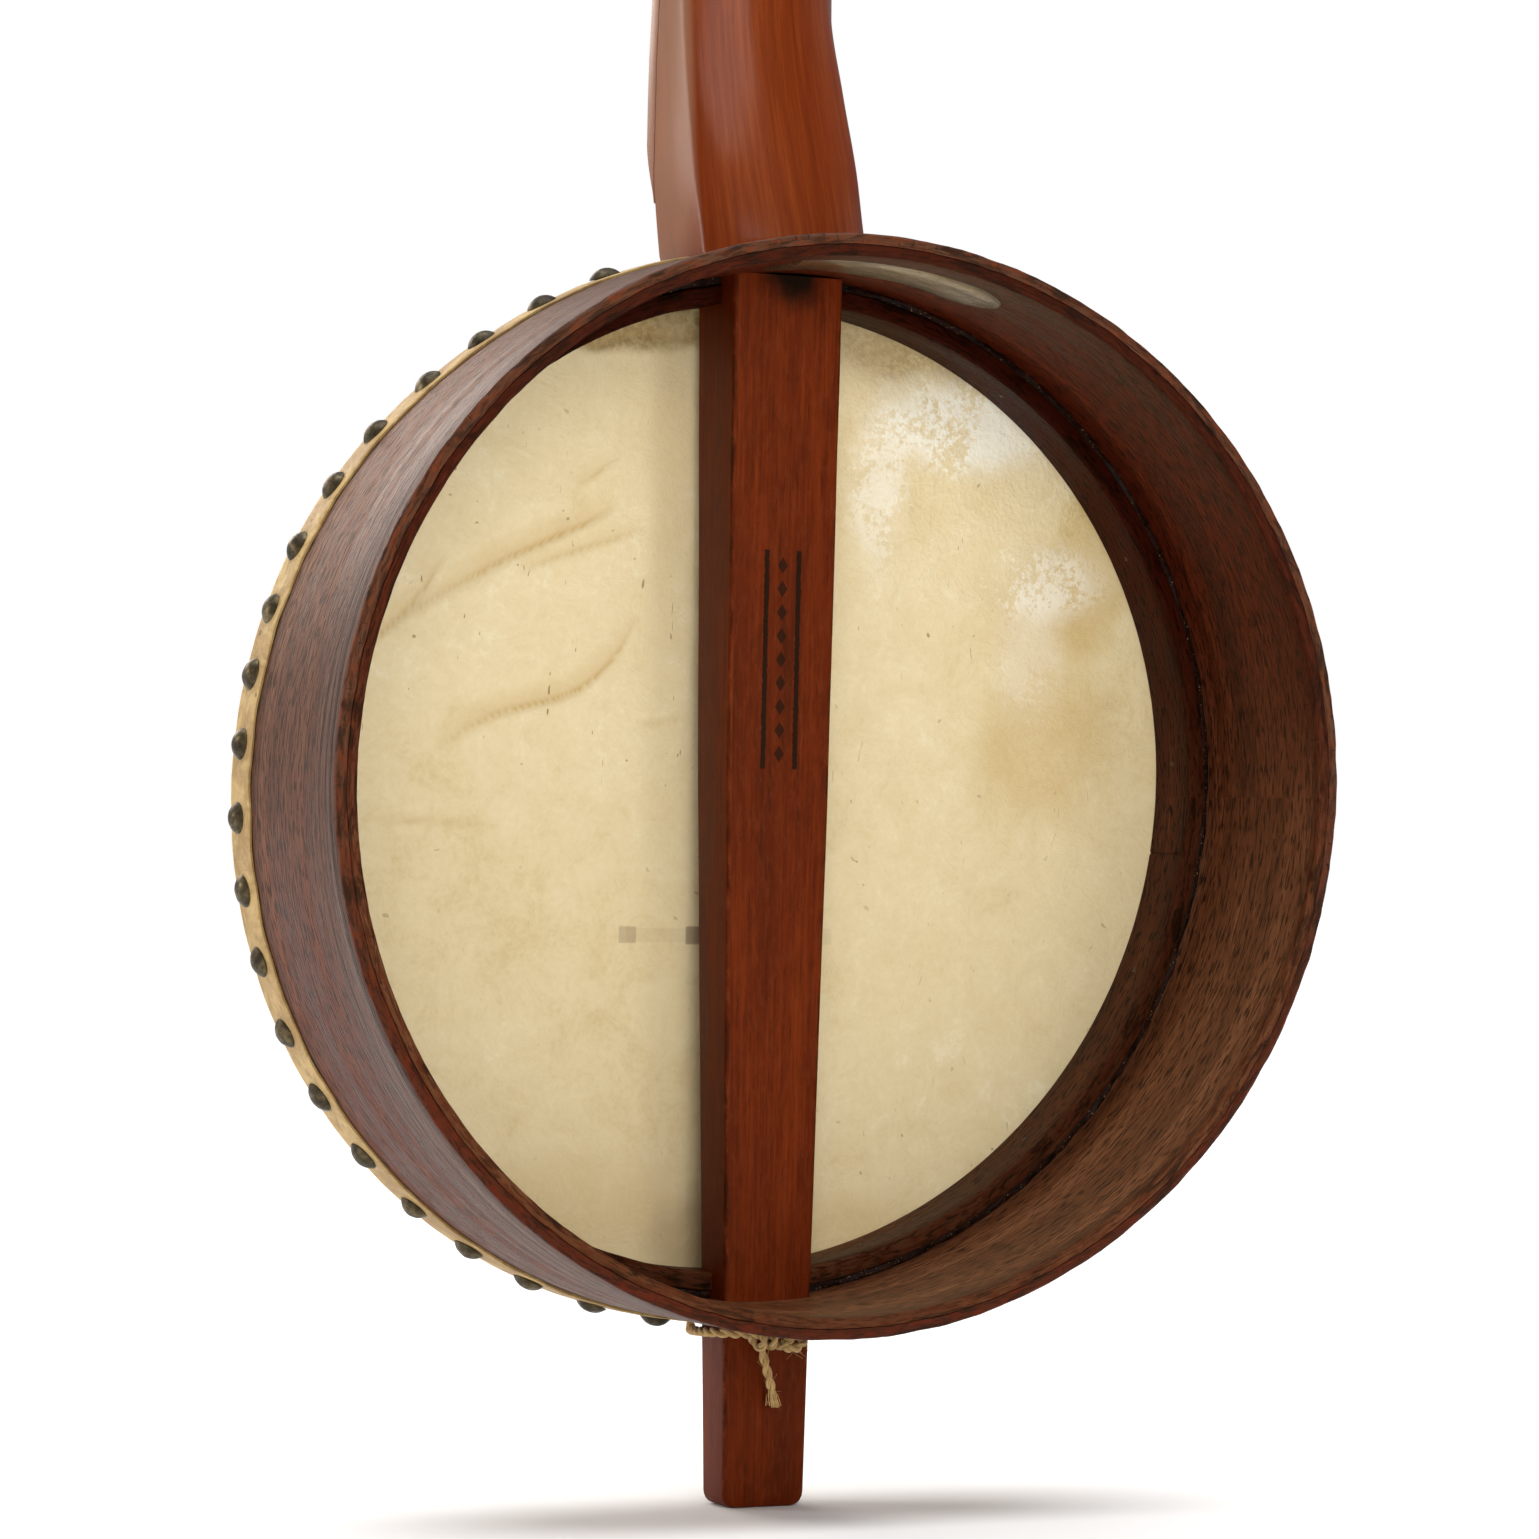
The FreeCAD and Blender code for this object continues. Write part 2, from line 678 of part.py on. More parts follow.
def nut():
    """The bone nut, with four round-bottomed slots."""
    half = size("nut_half")
    front = size("neck_front + nut_tall")
    base = size("neck_front")
    block = Part.makeBox(2 * half, front - base, size("nut_thick"), V(-half, -front, size("nut_height")))
    lip = Part.makeBox(2 * half + 4, 6, 10, V(-half - 2, -front - 4, 0))
    lip.rotate(V(0, -front - 4, 0), X_AXIS, -size("head_tilt_deg") * 2)
    lip.translate(V(0, -0.8, size("nut_height") + size("nut_thick") * 0.55))
    block = block.cut(lip)
    head_plane = on_peghead(Part.makeBox(120, 30, 60, V(-60, 0, -10)))
    block = block.cut(head_plane)
    for number in range(1, 5):
        slot = Part.makeCylinder(size("string_radius") + 0.06, 14,
                                 V(string_x(number, "nut"), -size("string_nut_y"), size("nut_height") - 3), Z_AXIS)
        mouth = Part.makeBox(2 * size("string_radius") + 0.12, 6, 14,
                             V(string_x(number, "nut") - size("string_radius") - 0.06,
                               -size("string_nut_y") - 6, size("nut_height") - 3))
        block = block.cut(slot).cut(mouth)
    return solid_feature(block.removeSplitter(), "nut")


def fifth_string_nut():
    """The small bone pip that the short string bears on, with a slot across its top."""
    surface = -size("neck_front + board_thick")
    sunk, proud = size("pip_sunk"), size("pip_proud")
    x, height = size("pip_x"), size("pip_height")
    post = Part.makeCylinder(size("pip_radius") - 0.02, sunk + proud, V(x, surface + sunk, height), V(0, -1, 0))
    wide = 2 * size("string_radius") + 0.4
    slot_deep = 0.9
    slot = Part.makeBox(wide, 2 * slot_deep, 10, V(x - wide / 2, surface - proud - slot_deep, height - 5))
    return solid_feature(post.cut(slot), "fifth_string_nut")


def peghead_overlay():
    plate = on_peghead(peghead_outline(-size("overlay_thick"), -0.02, size("nut_thick") + 1.6))
    for bore in peg_bores():
        plate = plate.cut(bore)
    return solid_feature(plate, "peghead_overlay")


# ---------------------------------------------------------------- pegs and strings


def upright_peg(thin, thick, bore_long, post_long, collar_start):
    """A friction peg on the Z axis: its thumb piece at +Z, its bore's mouth at z = 0."""
    collar_high = size("peg_collar_high")
    waist_long = size("peg_waist_long")
    radius = size("peg_thumb_radius")
    thumb_thick = size("peg_thumb_thick")
    shaft = Part.makeCone(thin, thick, bore_long, V(0, 0, -bore_long), Z_AXIS)
    neck_part = Part.makeCylinder(thick, collar_start + 0.5)
    collar = Part.makeCylinder(thick + size("peg_collar_over"), collar_high, V(0, 0, collar_start), Z_AXIS)
    waist = Part.makeCone(thick + 1.0, size("peg_waist_radius"), waist_long,
                          V(0, 0, collar_start + collar_high), Z_AXIS)
    thumb = Part.makeCylinder(radius, thumb_thick,
                              V(0, -thumb_thick / 2, collar_start + waist_long + radius), Y_AXIS)
    pieces = [neck_part, collar, waist, thumb]
    if post_long:
        pieces.append(Part.makeCylinder(thin, post_long, V(0, 0, -bore_long - post_long), Z_AXIS))
    return shaft.fuse(pieces).removeSplitter()


def upright_winding(inner, low, high):
    """The turns of string on a peg, as one plain sleeve."""
    sleeve = Part.makeCylinder(size("winding_radius"), high - low, V(0, 0, low), Z_AXIS)
    return sleeve.cut(Part.makeCylinder(inner, high - low + 2, V(0, 0, low - 1), Z_AXIS))


def to_peghead(shape, x, up):
    """Lays an upright peg shape in a peghead bore, its thumb piece behind the peghead."""
    shape.rotate(V(0, 0, 0), X_AXIS, -90)
    shape.translate(V(x, size("head_thick"), up))
    return on_peghead(shape)


def head_peg(number):
    x, up = peg_places()[number]
    thin = size("peg_thin")
    peg = upright_peg(thin, size("peg_thick"), size("head_thick + overlay_thick"),
                      size("peg_front - overlay_thick"), size("peg_seat_gap"))
    solid_feature(to_peghead(peg, x, up), f"peg_{number}")
    far = -size("head_thick + winding_front")
    winding = upright_winding(thin, far, far + size("winding_long"))
    solid_feature(to_peghead(winding, x, up), f"string_winding_{number}")


def to_neck_side(shape):
    """Lays an upright peg shape in the bore on the neck's bass side, its thumb piece at -X."""
    shape.rotate(V(0, 0, 0), Y_AXIS, -90)
    side = -neck_half(size("fifth_peg_height")) + 4.0
    shape.translate(V(min(side, -size("nut_half") - 2.2), -size("fifth_peg_y"), size("fifth_peg_height")))
    return shape


def fifth_peg():
    thick = size("peg_thin")
    thin = size("peg_thin - fifth_peg_thinner")
    peg = upright_peg(thin, thick, size("fifth_bore_deep"), 0, size("fifth_post_long"))
    solid_feature(to_neck_side(peg), "peg_5")
    start = size("fifth_winding_start")
    winding = upright_winding(thick, start, start + size("fifth_winding_long"))
    solid_feature(to_neck_side(winding), "string_winding_5")


def rod_path(points, radius):
    """Round rods between points, with a ball at each bend."""
    solids = []
    for a, b in zip(points, points[1:]):
        solids.append(Part.makeCylinder(radius, (b - a).Length, a, b - a))
    for bend in points[1:-1]:
        solids.append(Part.makeSphere(radius, bend))
    return solids[0].fuse(solids[1:]).removeSplitter()


def string_tail(number):
    """Where a string leaves the tailpiece, in the hole near its top edge."""
    tilt = math.radians(size("tailpiece_tilt_deg"))
    down = size("string_hole_down")
    front = V(string_x(number, "tail"),
              -size("tailpiece_front") + down * math.sin(tilt) - 0.5,
              size("tailpiece_top") - down * math.cos(tilt))
    inward = V(0, math.cos(tilt), math.sin(tilt))
    return front, inward


def bridge_saddle(number):
    top = size("neck_front + bridge_tall") - abs(number - 3) * 0.25
    return V(string_x(number, "bridge"), -top - 0.1, size("bridge_height"))


def string(number):
    """One string: through the tailpiece, over the bridge, over its nut, to its peg's turns."""
    radius = size("string_radius")
    front, inward = string_tail(number)
    points = [front + inward * (size("tailpiece_thick") - 0.4), front, bridge_saddle(number)]
    if number == 5:
        pip = V(size("pip_x"), -size("neck_front + board_thick + pip_proud") - 0.05, size("pip_height"))
        reach = size("winding_radius") + radius + 0.3
        side = V(-24.4, -size("fifth_peg_y") - reach + 0.2, size("fifth_peg_height") - 1.0)
        points += [pip, side]
    else:
        nut_line = V(string_x(number, "nut"), -size("string_nut_y"), size("nut_height"))
        nut_back = nut_line + V(0, 0, size("nut_thick") * 0.6)
        x, up = peg_places()[number]
        inner = math.copysign(abs(x) - size("winding_radius") - radius - 0.3, x)
        end = on_peghead(Part.Vertex(V(inner, -8.0, up - 0.5))).Point
        points += [nut_line, nut_back, end]
    line = rod_path(points, radius)
    knot = Part.makeSphere(size("string_knot_radius"), points[0] + inward * 1.0)
    solid_feature(line.fuse(knot).removeSplitter(), f"string_{number}")


def bridge():
    """A thin maple bridge on four feet, cut out in three arches, with five string notches."""
    body = new_body("Bridge")
    foot = "-dims.neck_front - 0.02"
    top = "-dims.neck_front - dims.bridge_tall"
    half = "dims.bridge_half"
    arch = f"{foot} - dims.bridge_tall * 0.5"
    corners = [(half, foot)]
    corners.append((f"{half} - 1.5", f"{foot} - dims.bridge_tall * 0.55"))
    corners.append((f"{half} - 8", f"{top} + 0.8"))
    corners.append(("0", f"{top} - 0.1"))
    corners.append((f"-{half} + 8", f"{top} + 0.8"))
    corners.append((f"-{half} + 1.5", f"{foot} - dims.bridge_tall * 0.55"))
    corners.append((f"-{half}", foot))
    for left, right in ((-30, -14), (-8, 8), (14, 30)):
        corners.append((str(left), foot))
        corners.append((str(left + 3), arch))
        corners.append((str(right - 3), arch))
        corners.append((str(right), foot))
    sketch = outline(body, "XY_Plane", corners, "dims.bridge_height - dims.bridge_thick / 2")
    pad(body, sketch, "dims.bridge_thick")
    notches = []
    for number in range(1, 6):
        saddle = bridge_saddle(number)
        notch = doc.addObject("Part::Cylinder", "Notch")
        notch.setExpression("Radius", "dims.string_radius + 0.3")
        notch.Height = 12
        notch.Placement.Base = V(saddle.x, saddle.y, saddle.z - 6)
        notches.append(notch)
    doc.recompute()
    return cut(body, notches, "bridge")


def tailpiece():
    """A small tapered plate: five string holes at its top, two bores for the twine at its end."""
    thick = size("tailpiece_thick")
    long = size("tailpiece_long")
    down = size("string_hole_down")
    half, end = size("tailpiece_half"), size("tailpiece_end_half")
    edges = [
        Part.Arc(V(-half, 0, -6), V(0, 0, 0), V(half, 0, -6)).toShape(),
        Part.makeLine(V(half, 0, -6), V(end, 0, -long)),
        Part.makeLine(V(end, 0, -long), V(-end, 0, -long)),
        Part.makeLine(V(-end, 0, -long), V(-half, 0, -6)),
    ]
    plate = Part.Face(Part.Wire(edges)).extrude(V(0, thick, 0))
    for number in range(1, 6):
        x = string_x(number, "tail")
        hole = Part.makeCylinder(size("string_hole_radius"), thick + 2, V(x, -1, -down), Y_AXIS)
        sink = Part.makeCylinder(size("string_knot_radius") + 0.45, 3, V(x, thick - 2.6, -down), Y_AXIS)
        plate = plate.cut(hole).cut(sink)
    plate.rotate(V(0, 0, 0), X_AXIS, size("tailpiece_tilt_deg"))
    plate.translate(V(0, -size("tailpiece_front"), size("tailpiece_top")))
    lead = TWINE_SIDE[1] - TWINE_SIDE[0]
    bore = Part.makeCylinder(size("twine_radius") + 0.15, lead.Length, TWINE_SIDE[0] - lead * 0.02, lead)
    plate = plate.cut(bore).cut(bore.mirror(V(0, 0, 0), X_AXIS))
    return solid_feature(plate, "tailpiece")


# ---------------------------------------------------------------- twine

# One side of the twine, from the tailpiece's bore, over the pot's edge, to behind the stub.
TWINE_SIDE = [
    V(8.0, -86.4, -147.8),
    V(9.6, -85.7, -163.6),
    V(17.0, -70.4, -164.4),
    V(18.6, -49.2, -164.8),
]
TWINE_MIDDLE = V(0.0, -49.9, -166.0)
TWINE_END = [
    V(0.7, -49.3, -167.9),
    V(-0.7, -48.9, -176.0),
    V(-2.8, -49.3, -185.6),
]


def cord_tube(points, radius, label):
    """A round tube along straight runs joined by arcs as large as the runs allow."""
    edges = []
    start = points[0]
    length = 0.0
    for before, corner, after in zip(points, points[1:], points[2:]):
        inward = (before - corner).normalize()
        outward = (after - corner).normalize()
        turn = math.pi - inward.getAngle(outward)
        reach = 0.45 * min((before - corner).Length, (after - corner).Length)
        bend = reach / math.tan(turn / 2)
        first = corner + inward * reach
        last = corner + outward * reach
        bisector = (inward + outward).normalize()
        middle = corner + bisector * (bend / math.cos(turn / 2) - bend)
        edges.append(Part.makeLine(start, first))
        edges.append(Part.Arc(first, middle, last).toShape())
        length += (first - start).Length + bend * turn
        print(f"{label}: turn {math.degrees(turn):.0f} degrees, radius {bend:.1f}")
        start = last
    edges.append(Part.makeLine(start, points[-1]))
    length += (points[-1] - start).Length
    path = Part.Wire(edges)
    ring = Part.Wire(Part.makeCircle(radius, points[0], points[1] - points[0]))
    tube = path.makePipeShell([ring], True, True)
    expected = math.pi * radius ** 2 * length
    print(f"{label}: length {length:.1f}, volume {tube.Volume:.1f} of {expected:.1f}")
    return tube


def knot_solid():
    """Three turns of twine drawn tight on each other, as one round lumpy solid along X."""
    lumps = [(7.7, 0.0), (7.0, 1.9), (5.4, 3.0), (4.0, 3.0), (2.4, 2.3), (0.8, 3.2), (-1.6, 3.2),
             (-3.2, 2.4), (-5.0, 3.0), (-7.8, 3.0), (-10.2, 1.7), (-11.0, 0.0)]
    points = [V(x, out, 0) for x, out in lumps]
    face = Part.Face(Part.makePolygon(points + [points[0]]))
    solid = face.revolve(V(0, 0, 0), X_AXIS, 360)
    solid.translate(V(0, -49.3, -165.8))
    return solid


def twine():
    radius = size("twine_radius")
    other = [V(-p.x, p.y, p.z) for p in reversed(TWINE_SIDE)]
    loop = cord_tube(TWINE_SIDE + [TWINE_MIDDLE] + other, radius, "tail_cord")
    solid_feature(loop, "tail_cord")
    solid_feature(knot_solid(), "tail_knot")
    solid_feature(cord_tube(TWINE_END, radius, "tail_cord_end"), "tail_cord_end")


# ---------------------------------------------------------------- assembly and export


def build():
    rim_outer_ply()
    rim_inner_ply()
    rim_lap_tongue()
    head_ring()
    ring_glue_line()
    ring_brads()
    skin_head()
    head_tacks()
    perch_pole()
    neck()
    fingerboard()
    peghead_overlay()
    nut()
    fifth_string_nut()
    for number in range(1, 5):
        head_peg(number)
    fifth_peg()
    bridge()
    tailpiece()
    for number in range(1, 6):
        string(number)
    twine()
    doc.recompute()


def export():
    """Checks every object, then writes each sub-part to parts/NODE.step."""
    for item in doc.Objects:
        if "Invalid" in item.State or "Error" in item.State:
            raise RuntimeError(f"{item.Label} failed: {item.State}")
    for item in NODES:
        if item.Shape.isNull() or not item.Shape.isValid():
            raise RuntimeError(f"{item.Label} has no valid shape")
    os.makedirs("parts", exist_ok=True)
    for item in NODES:
        item.Shape.exportStep(f"parts/{item.Label}.step")
        print(f"{item.Label}: {item.Shape.Volume / 1000:.2f} cm3, {len(item.Shape.Solids)} solids")


build()
export()
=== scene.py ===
"""The looks of a tack-head banjo: wood, skin, bronze, bone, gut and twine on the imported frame.

Lengths are in millimetres here and become metres as each mesh is made. X is the instrument's
width, Z runs up the neck, the open back is at y = 0 and the skin faces -Y.
"""
import math
import random

import bmesh
import bpy
import numpy as np
from mathutils import Matrix, Vector, noise


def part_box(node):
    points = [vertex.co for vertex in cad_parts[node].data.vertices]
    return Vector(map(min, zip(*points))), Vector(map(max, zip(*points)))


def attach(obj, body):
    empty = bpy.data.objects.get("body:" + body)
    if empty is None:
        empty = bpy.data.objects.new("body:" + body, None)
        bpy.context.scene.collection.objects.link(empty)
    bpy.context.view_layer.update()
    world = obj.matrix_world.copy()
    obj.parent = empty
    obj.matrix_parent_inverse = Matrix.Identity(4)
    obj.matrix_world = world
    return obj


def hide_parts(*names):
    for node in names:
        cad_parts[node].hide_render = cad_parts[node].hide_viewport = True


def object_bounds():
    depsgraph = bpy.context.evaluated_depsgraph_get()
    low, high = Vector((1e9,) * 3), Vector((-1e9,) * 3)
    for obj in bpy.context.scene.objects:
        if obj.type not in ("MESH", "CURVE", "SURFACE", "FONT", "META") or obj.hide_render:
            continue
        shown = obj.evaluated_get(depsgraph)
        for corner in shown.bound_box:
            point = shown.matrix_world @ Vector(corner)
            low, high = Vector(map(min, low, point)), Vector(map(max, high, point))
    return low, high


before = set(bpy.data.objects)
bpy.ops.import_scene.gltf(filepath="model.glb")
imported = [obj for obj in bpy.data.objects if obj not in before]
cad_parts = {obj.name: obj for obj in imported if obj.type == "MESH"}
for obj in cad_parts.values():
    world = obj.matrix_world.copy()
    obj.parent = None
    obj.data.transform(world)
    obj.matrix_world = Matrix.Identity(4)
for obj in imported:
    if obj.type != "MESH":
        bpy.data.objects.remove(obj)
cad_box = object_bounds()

MM = 0.001
TAU = 2 * math.pi
UP = Vector((0, 0, 1))


def span(node):
    """A CAD node's lowest and highest corner, in millimetres."""
    low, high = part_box(node)
    return Vector(low) / MM, Vector(high) / MM


# The pot
RIM_RADIUS = span("rim_outer_ply")[1].x
HEAD_FACE = span("skin_head")[0].y
SKIN_THICK = 0.8
RIM_FRONT = HEAD_FACE + SKIN_THICK
OUTER_PLY = (156.8, RIM_RADIUS)
INNER_PLY = (153.4, 156.7)
RING = (145.5, 151.0)
RING_BACK = -61.2
GLUE = (151.0, 153.4)
GLUE_BACK = -62.6
BACK_OVAL = (0.902, -0.571)      # how far out of round the back edge is, on two axes
HEAD_OVAL = (0.473, -2.197)      # and the head edge
LAP_END = -66.8
TACK_LINE = -75.0
TACK_PLACES = 47
TACK_STEP = math.radians(360 / TACK_PLACES)
TACK_START = math.radians(-80.6)

# The pole and neck
POLE_BACK = -53.0
POLE_SHOULDER = 151.8
POLE_EDGE = 1.3
POLE_HALF = 16.8      # half its width at the pot's middle
POLE_DEEP = 21.5      # and its depth there
POLE_LOW = 209.6      # how far below that the tail's own size is reached
POLE_TAIL = span("perch_pole")[0].z
POLE_TOP = span("perch_pole")[1].z
NECK_FRONT = -82.0
BOARD_END = 174.0
BOARD_THICK = 5.48
NUT_HEIGHT = 627.0
NUT_HALF = 18.5
SHOULDER_HEIGHT = 455.0
SHOULDER_HALF = 25.4
HEEL_HALF = 32.0
TAPER_START = 215.0
BASS_HEEL_HALF = 29.2
FLARE_START = 164
HEAD_TILT = math.radians(-12)
HEAD_THICK = 13.0
PEG_PLACES = {1: (14, 45), 2: (17, 90), 3: (-17, 90), 4: (-14, 45)}
FIFTH_PEG = Vector((-20.7, -77, 482))
PIP = Vector((-22, 0, 450))
STRING_RADIUS = 0.38
BRIDGE_HEIGHT = -46.0
BRIDGE_TOP = -98.0
TAIL_TILT = math.radians(5)
TAIL_SEAT = (0, -91.3, -124)      # the point that the tailpiece is tilted about

# The twine's route, out of one bore of the tailpiece and round behind the stub
TWINE_THICK = 2.9
TWINE_SIDE = [(8.0, -86.4, -147.8), (9.6, -85.7, -163.6), (17.0, -70.4, -162.7), (18.4, -49.2, -161.2)]
TWINE_MIDDLE = (0, -49.9, -162.4)
TWINE_END = [(3.9, -49.3, -165.1), (1.8, -48.6, -173.2), (-1.4, -49.3, -182.8)]


# ---------------------------------------------------------------- camera

def camera():
    """A long lens behind the pot, on its +X side, a little below its middle."""
    azimuth = math.radians(26.11)
    elevation = math.radians(-0.673)
    roll = math.radians(1.236)
    distance = 1424.3
    target = Vector((29.16, 0, 4.2))
    level = math.cos(elevation)
    back = Vector((math.sin(azimuth) * level, math.cos(azimuth) * level, math.sin(elevation)))
    right = UP.cross(back).normalized()
    upward = back.cross(right)
    rolled_right = right * math.cos(roll) + upward * math.sin(roll)
    rolled_up = upward * math.cos(roll) - right * math.sin(roll)
    data = bpy.data.cameras.new("camera")
    data.sensor_width = 36
    data.lens = 117.0
    data.clip_end = 60
    made = add_object("camera", data)
    made.matrix_world = Matrix((rolled_right, rolled_up, back)).transposed().to_4x4()
    made.location = (target + back * distance) * MM
    bpy.context.scene.camera = made


# ---------------------------------------------------------------- paint

WARM_VARNISH = (1, 0.55, 0.32, 1)      # the colour of the shine on oiled wood


def srgb(red, green, blue):
    """A colour on the usual 0 to 255 scale, as Blender's linear colour."""
    def linear(value):
        value /= 255
        return value / 12.92 if value <= 0.04045 else ((value + 0.055) / 1.055) ** 2.4
    return (linear(red), linear(green), linear(blue), 1)


class Graph:
    """A node tree, with a short way to add a node and set or link its sockets."""

    def __init__(self, tree):
        self.tree = tree

    def node(self, kind, inputs, **settings):
        made = self.tree.nodes.new("ShaderNode" + kind)
        for name, value in settings.items():
            setattr(made, name, value)
        for name, value in inputs.items():
            if isinstance(value, bpy.types.NodeSocket):
                self.tree.links.new(value, made.inputs[name])
            else:
                made.inputs[name].default_value = value
        return made

    def math(self, operation, first, second=0.0):
        return self.node("Math", {0: first, 1: second}, operation=operation).outputs[0]


class Paint(Graph):
    """A material's node graph, with short names for the nodes that the woods and skin share."""

    def __init__(self, name, **constants):
        self.material = bpy.data.materials.new(name)
        self.material.use_nodes = True
        super().__init__(self.material.node_tree)
        self.shader = self.tree.nodes["Principled BSDF"]
        for socket, value in constants.items():
            self.shader.inputs[socket.replace("_", " ")].default_value = value

    def grain(self, along, across):
        """Grain coordinates: how many cells a metre along the grain and across it."""
        source = self.node("UVMap", {}, uv_map="grain").outputs[0]
        return self.node("Mapping", {0: source, 3: (along, across, 1)}).outputs[0]

    def slanted(self, turn, along, across):
        """Grain coordinates turned by an angle in radians, for yarns that lie across a strand."""
        return self.node("Mapping", {0: self.grain(1, 1), 2: (0, 0, turn), 3: (along, across, 1)}).outputs[0]

    def place(self):
        return self.node("TexCoord", {}).outputs["Object"]

    def axis(self, name):
        return self.node("SeparateXYZ", {0: self.place()}).outputs[name]

    def wear(self):
        return self.node("Attribute", {}, attribute_name="wear").outputs["Fac"]

    def noise(self, vector, scale=1.0, detail=3.0, rough=0.55, bend=0.0):
        inputs = {"Vector": vector, "Scale": scale, "Detail": detail, "Roughness": rough, "Distortion": bend}
        return self.node("TexNoise", inputs).outputs[0]

    def cells(self, vector, scale):
        return self.node("TexVoronoi", {"Vector": vector, "Scale": scale}).outputs["Distance"]

    def plus(self, first, second):
        return self.math("ADD", first, second)

    def minus(self, first, second):
        return self.math("SUBTRACT", first, second)

    def times(self, first, second):
        return self.math("MULTIPLY", first, second)

    def size(self, value):
        return self.math("ABSOLUTE", value)

    def between(self, value, low, high, low_out=0.0, high_out=1.0):
        inputs = {0: value, 1: low, 2: high, 3: low_out, 4: high_out}
        return self.node("MapRange", inputs, interpolation_type="SMOOTHSTEP").outputs[0]

    def ramp(self, value, stops):
        made = self.node("ValToRGB", {0: value})
        ramp = made.color_ramp
        while len(ramp.elements) < len(stops):
            ramp.elements.new(0.5)
        for element, (position, colour) in zip(ramp.elements, stops):
            element.position = position
            element.color = colour
        return made.outputs[0]

    def mix(self, share, first, second, blend="MIX"):
        inputs = {0: share, 6: first, 7: second}
        return self.node("Mix", inputs, data_type="RGBA", blend_type=blend).outputs[2]

    def spot(self, centre, reach, ragged=0.0, soft=0.3, grain=40):
        """1 within an ellipse, 0 outside it, with a ragged edge. A reach of 0 leaves that axis out."""
        offset = self.node("VectorMath", {0: self.place(), 1: [value * MM for value in centre]},
                           operation="SUBTRACT").outputs[0]
        scale = [1 / (value * MM) if value else 0 for value in reach]
        scaled = self.node("VectorMath", {0: offset, 1: scale}, operation="MULTIPLY").outputs[0]
        far = self.node("VectorMath", {0: scaled}, operation="LENGTH").outputs["Value"]
        if ragged:
            blur = self.minus(self.noise(self.place(), grain, 5), 0.5)
            far = self.plus(far, self.times(blur, ragged))
        return self.between(far, 1 - soft, 1 + soft, 1, 0)

    def bump(self, height, strength, distance, after=None):
        inputs = {"Strength": strength, "Distance": distance * MM, "Height": height}
        if after is not None:
            inputs["Normal"] = after
        return self.node("Bump", inputs).outputs[0]

    def finish(self, colour, roughness=None, normal=None):
        self.tree.links.new(colour, self.shader.inputs["Base Color"])
        if roughness is not None:
            self.tree.links.new(roughness, self.shader.inputs["Roughness"])
        if normal is not None:
            self.tree.links.new(normal, self.shader.inputs["Normal"])
        return self.material


def wood(name, dark, middle, light, streak=(5, 60), fibre=(45, 1500), pore=(190, 2300), pores=0.6,
         cut=(0.6, 0.72), worn=None, nicks=0.0, rough=(0.34, 0.5), relief=0.25, marks=None, **constants):
    """Varnished wood: slow streaks, fine fibres, short dark pores, and worn corners."""
    paint = Paint(name, **constants)
    figure = paint.noise(paint.grain(*streak), 1, 4, 0.6, 0.3)
    fibres = paint.noise(paint.grain(*fibre), 1, 3, 0.65)
    holes = paint.between(paint.noise(paint.grain(*pore), 1, 1.5), *cut)
    tone = paint.plus(paint.times(figure, 0.6), paint.times(fibres, 0.4))
    colour = paint.ramp(tone, [(0.34, srgb(*dark)), (0.5, srgb(*middle)), (0.66, srgb(*light))])
    shade = srgb(*[value * 0.25 for value in dark])
    colour = paint.mix(paint.times(holes, pores), colour, shade)
    height = paint.minus(fibres, paint.times(holes, 0.8))
    if worn:
        colour = paint.mix(paint.times(paint.wear(), 0.6), colour, srgb(*dark))
        patchy = paint.between(paint.noise(paint.grain(150, 520), 1, 5, 0.75), 0.47, 0.62)
        bare = paint.times(paint.wear(), patchy)
        colour = paint.mix(bare, colour, srgb(*worn))
        grime = paint.between(paint.noise(paint.grain(60, 260), 1, 4, 0.7, 0.6), 0.5, 0.62)
        colour = paint.mix(paint.times(grime, paint.times(paint.wear(), 0.8)), colour, shade)
    if nicks:
        scratches = paint.between(paint.noise(paint.grain(1100, 160), 1, 2, 0.6), 0.64, 0.7)
        scratches = paint.times(scratches, paint.plus(paint.wear(), 0.12))
        colour = paint.mix(paint.times(scratches, nicks), colour, shade)
        height = paint.minus(height, scratches)
    if marks:
        colour = marks(paint, colour)
    gloss = paint.between(figure, 0.35, 0.65, *rough)
    return paint.finish(colour, gloss, paint.bump(height, relief, 0.35))


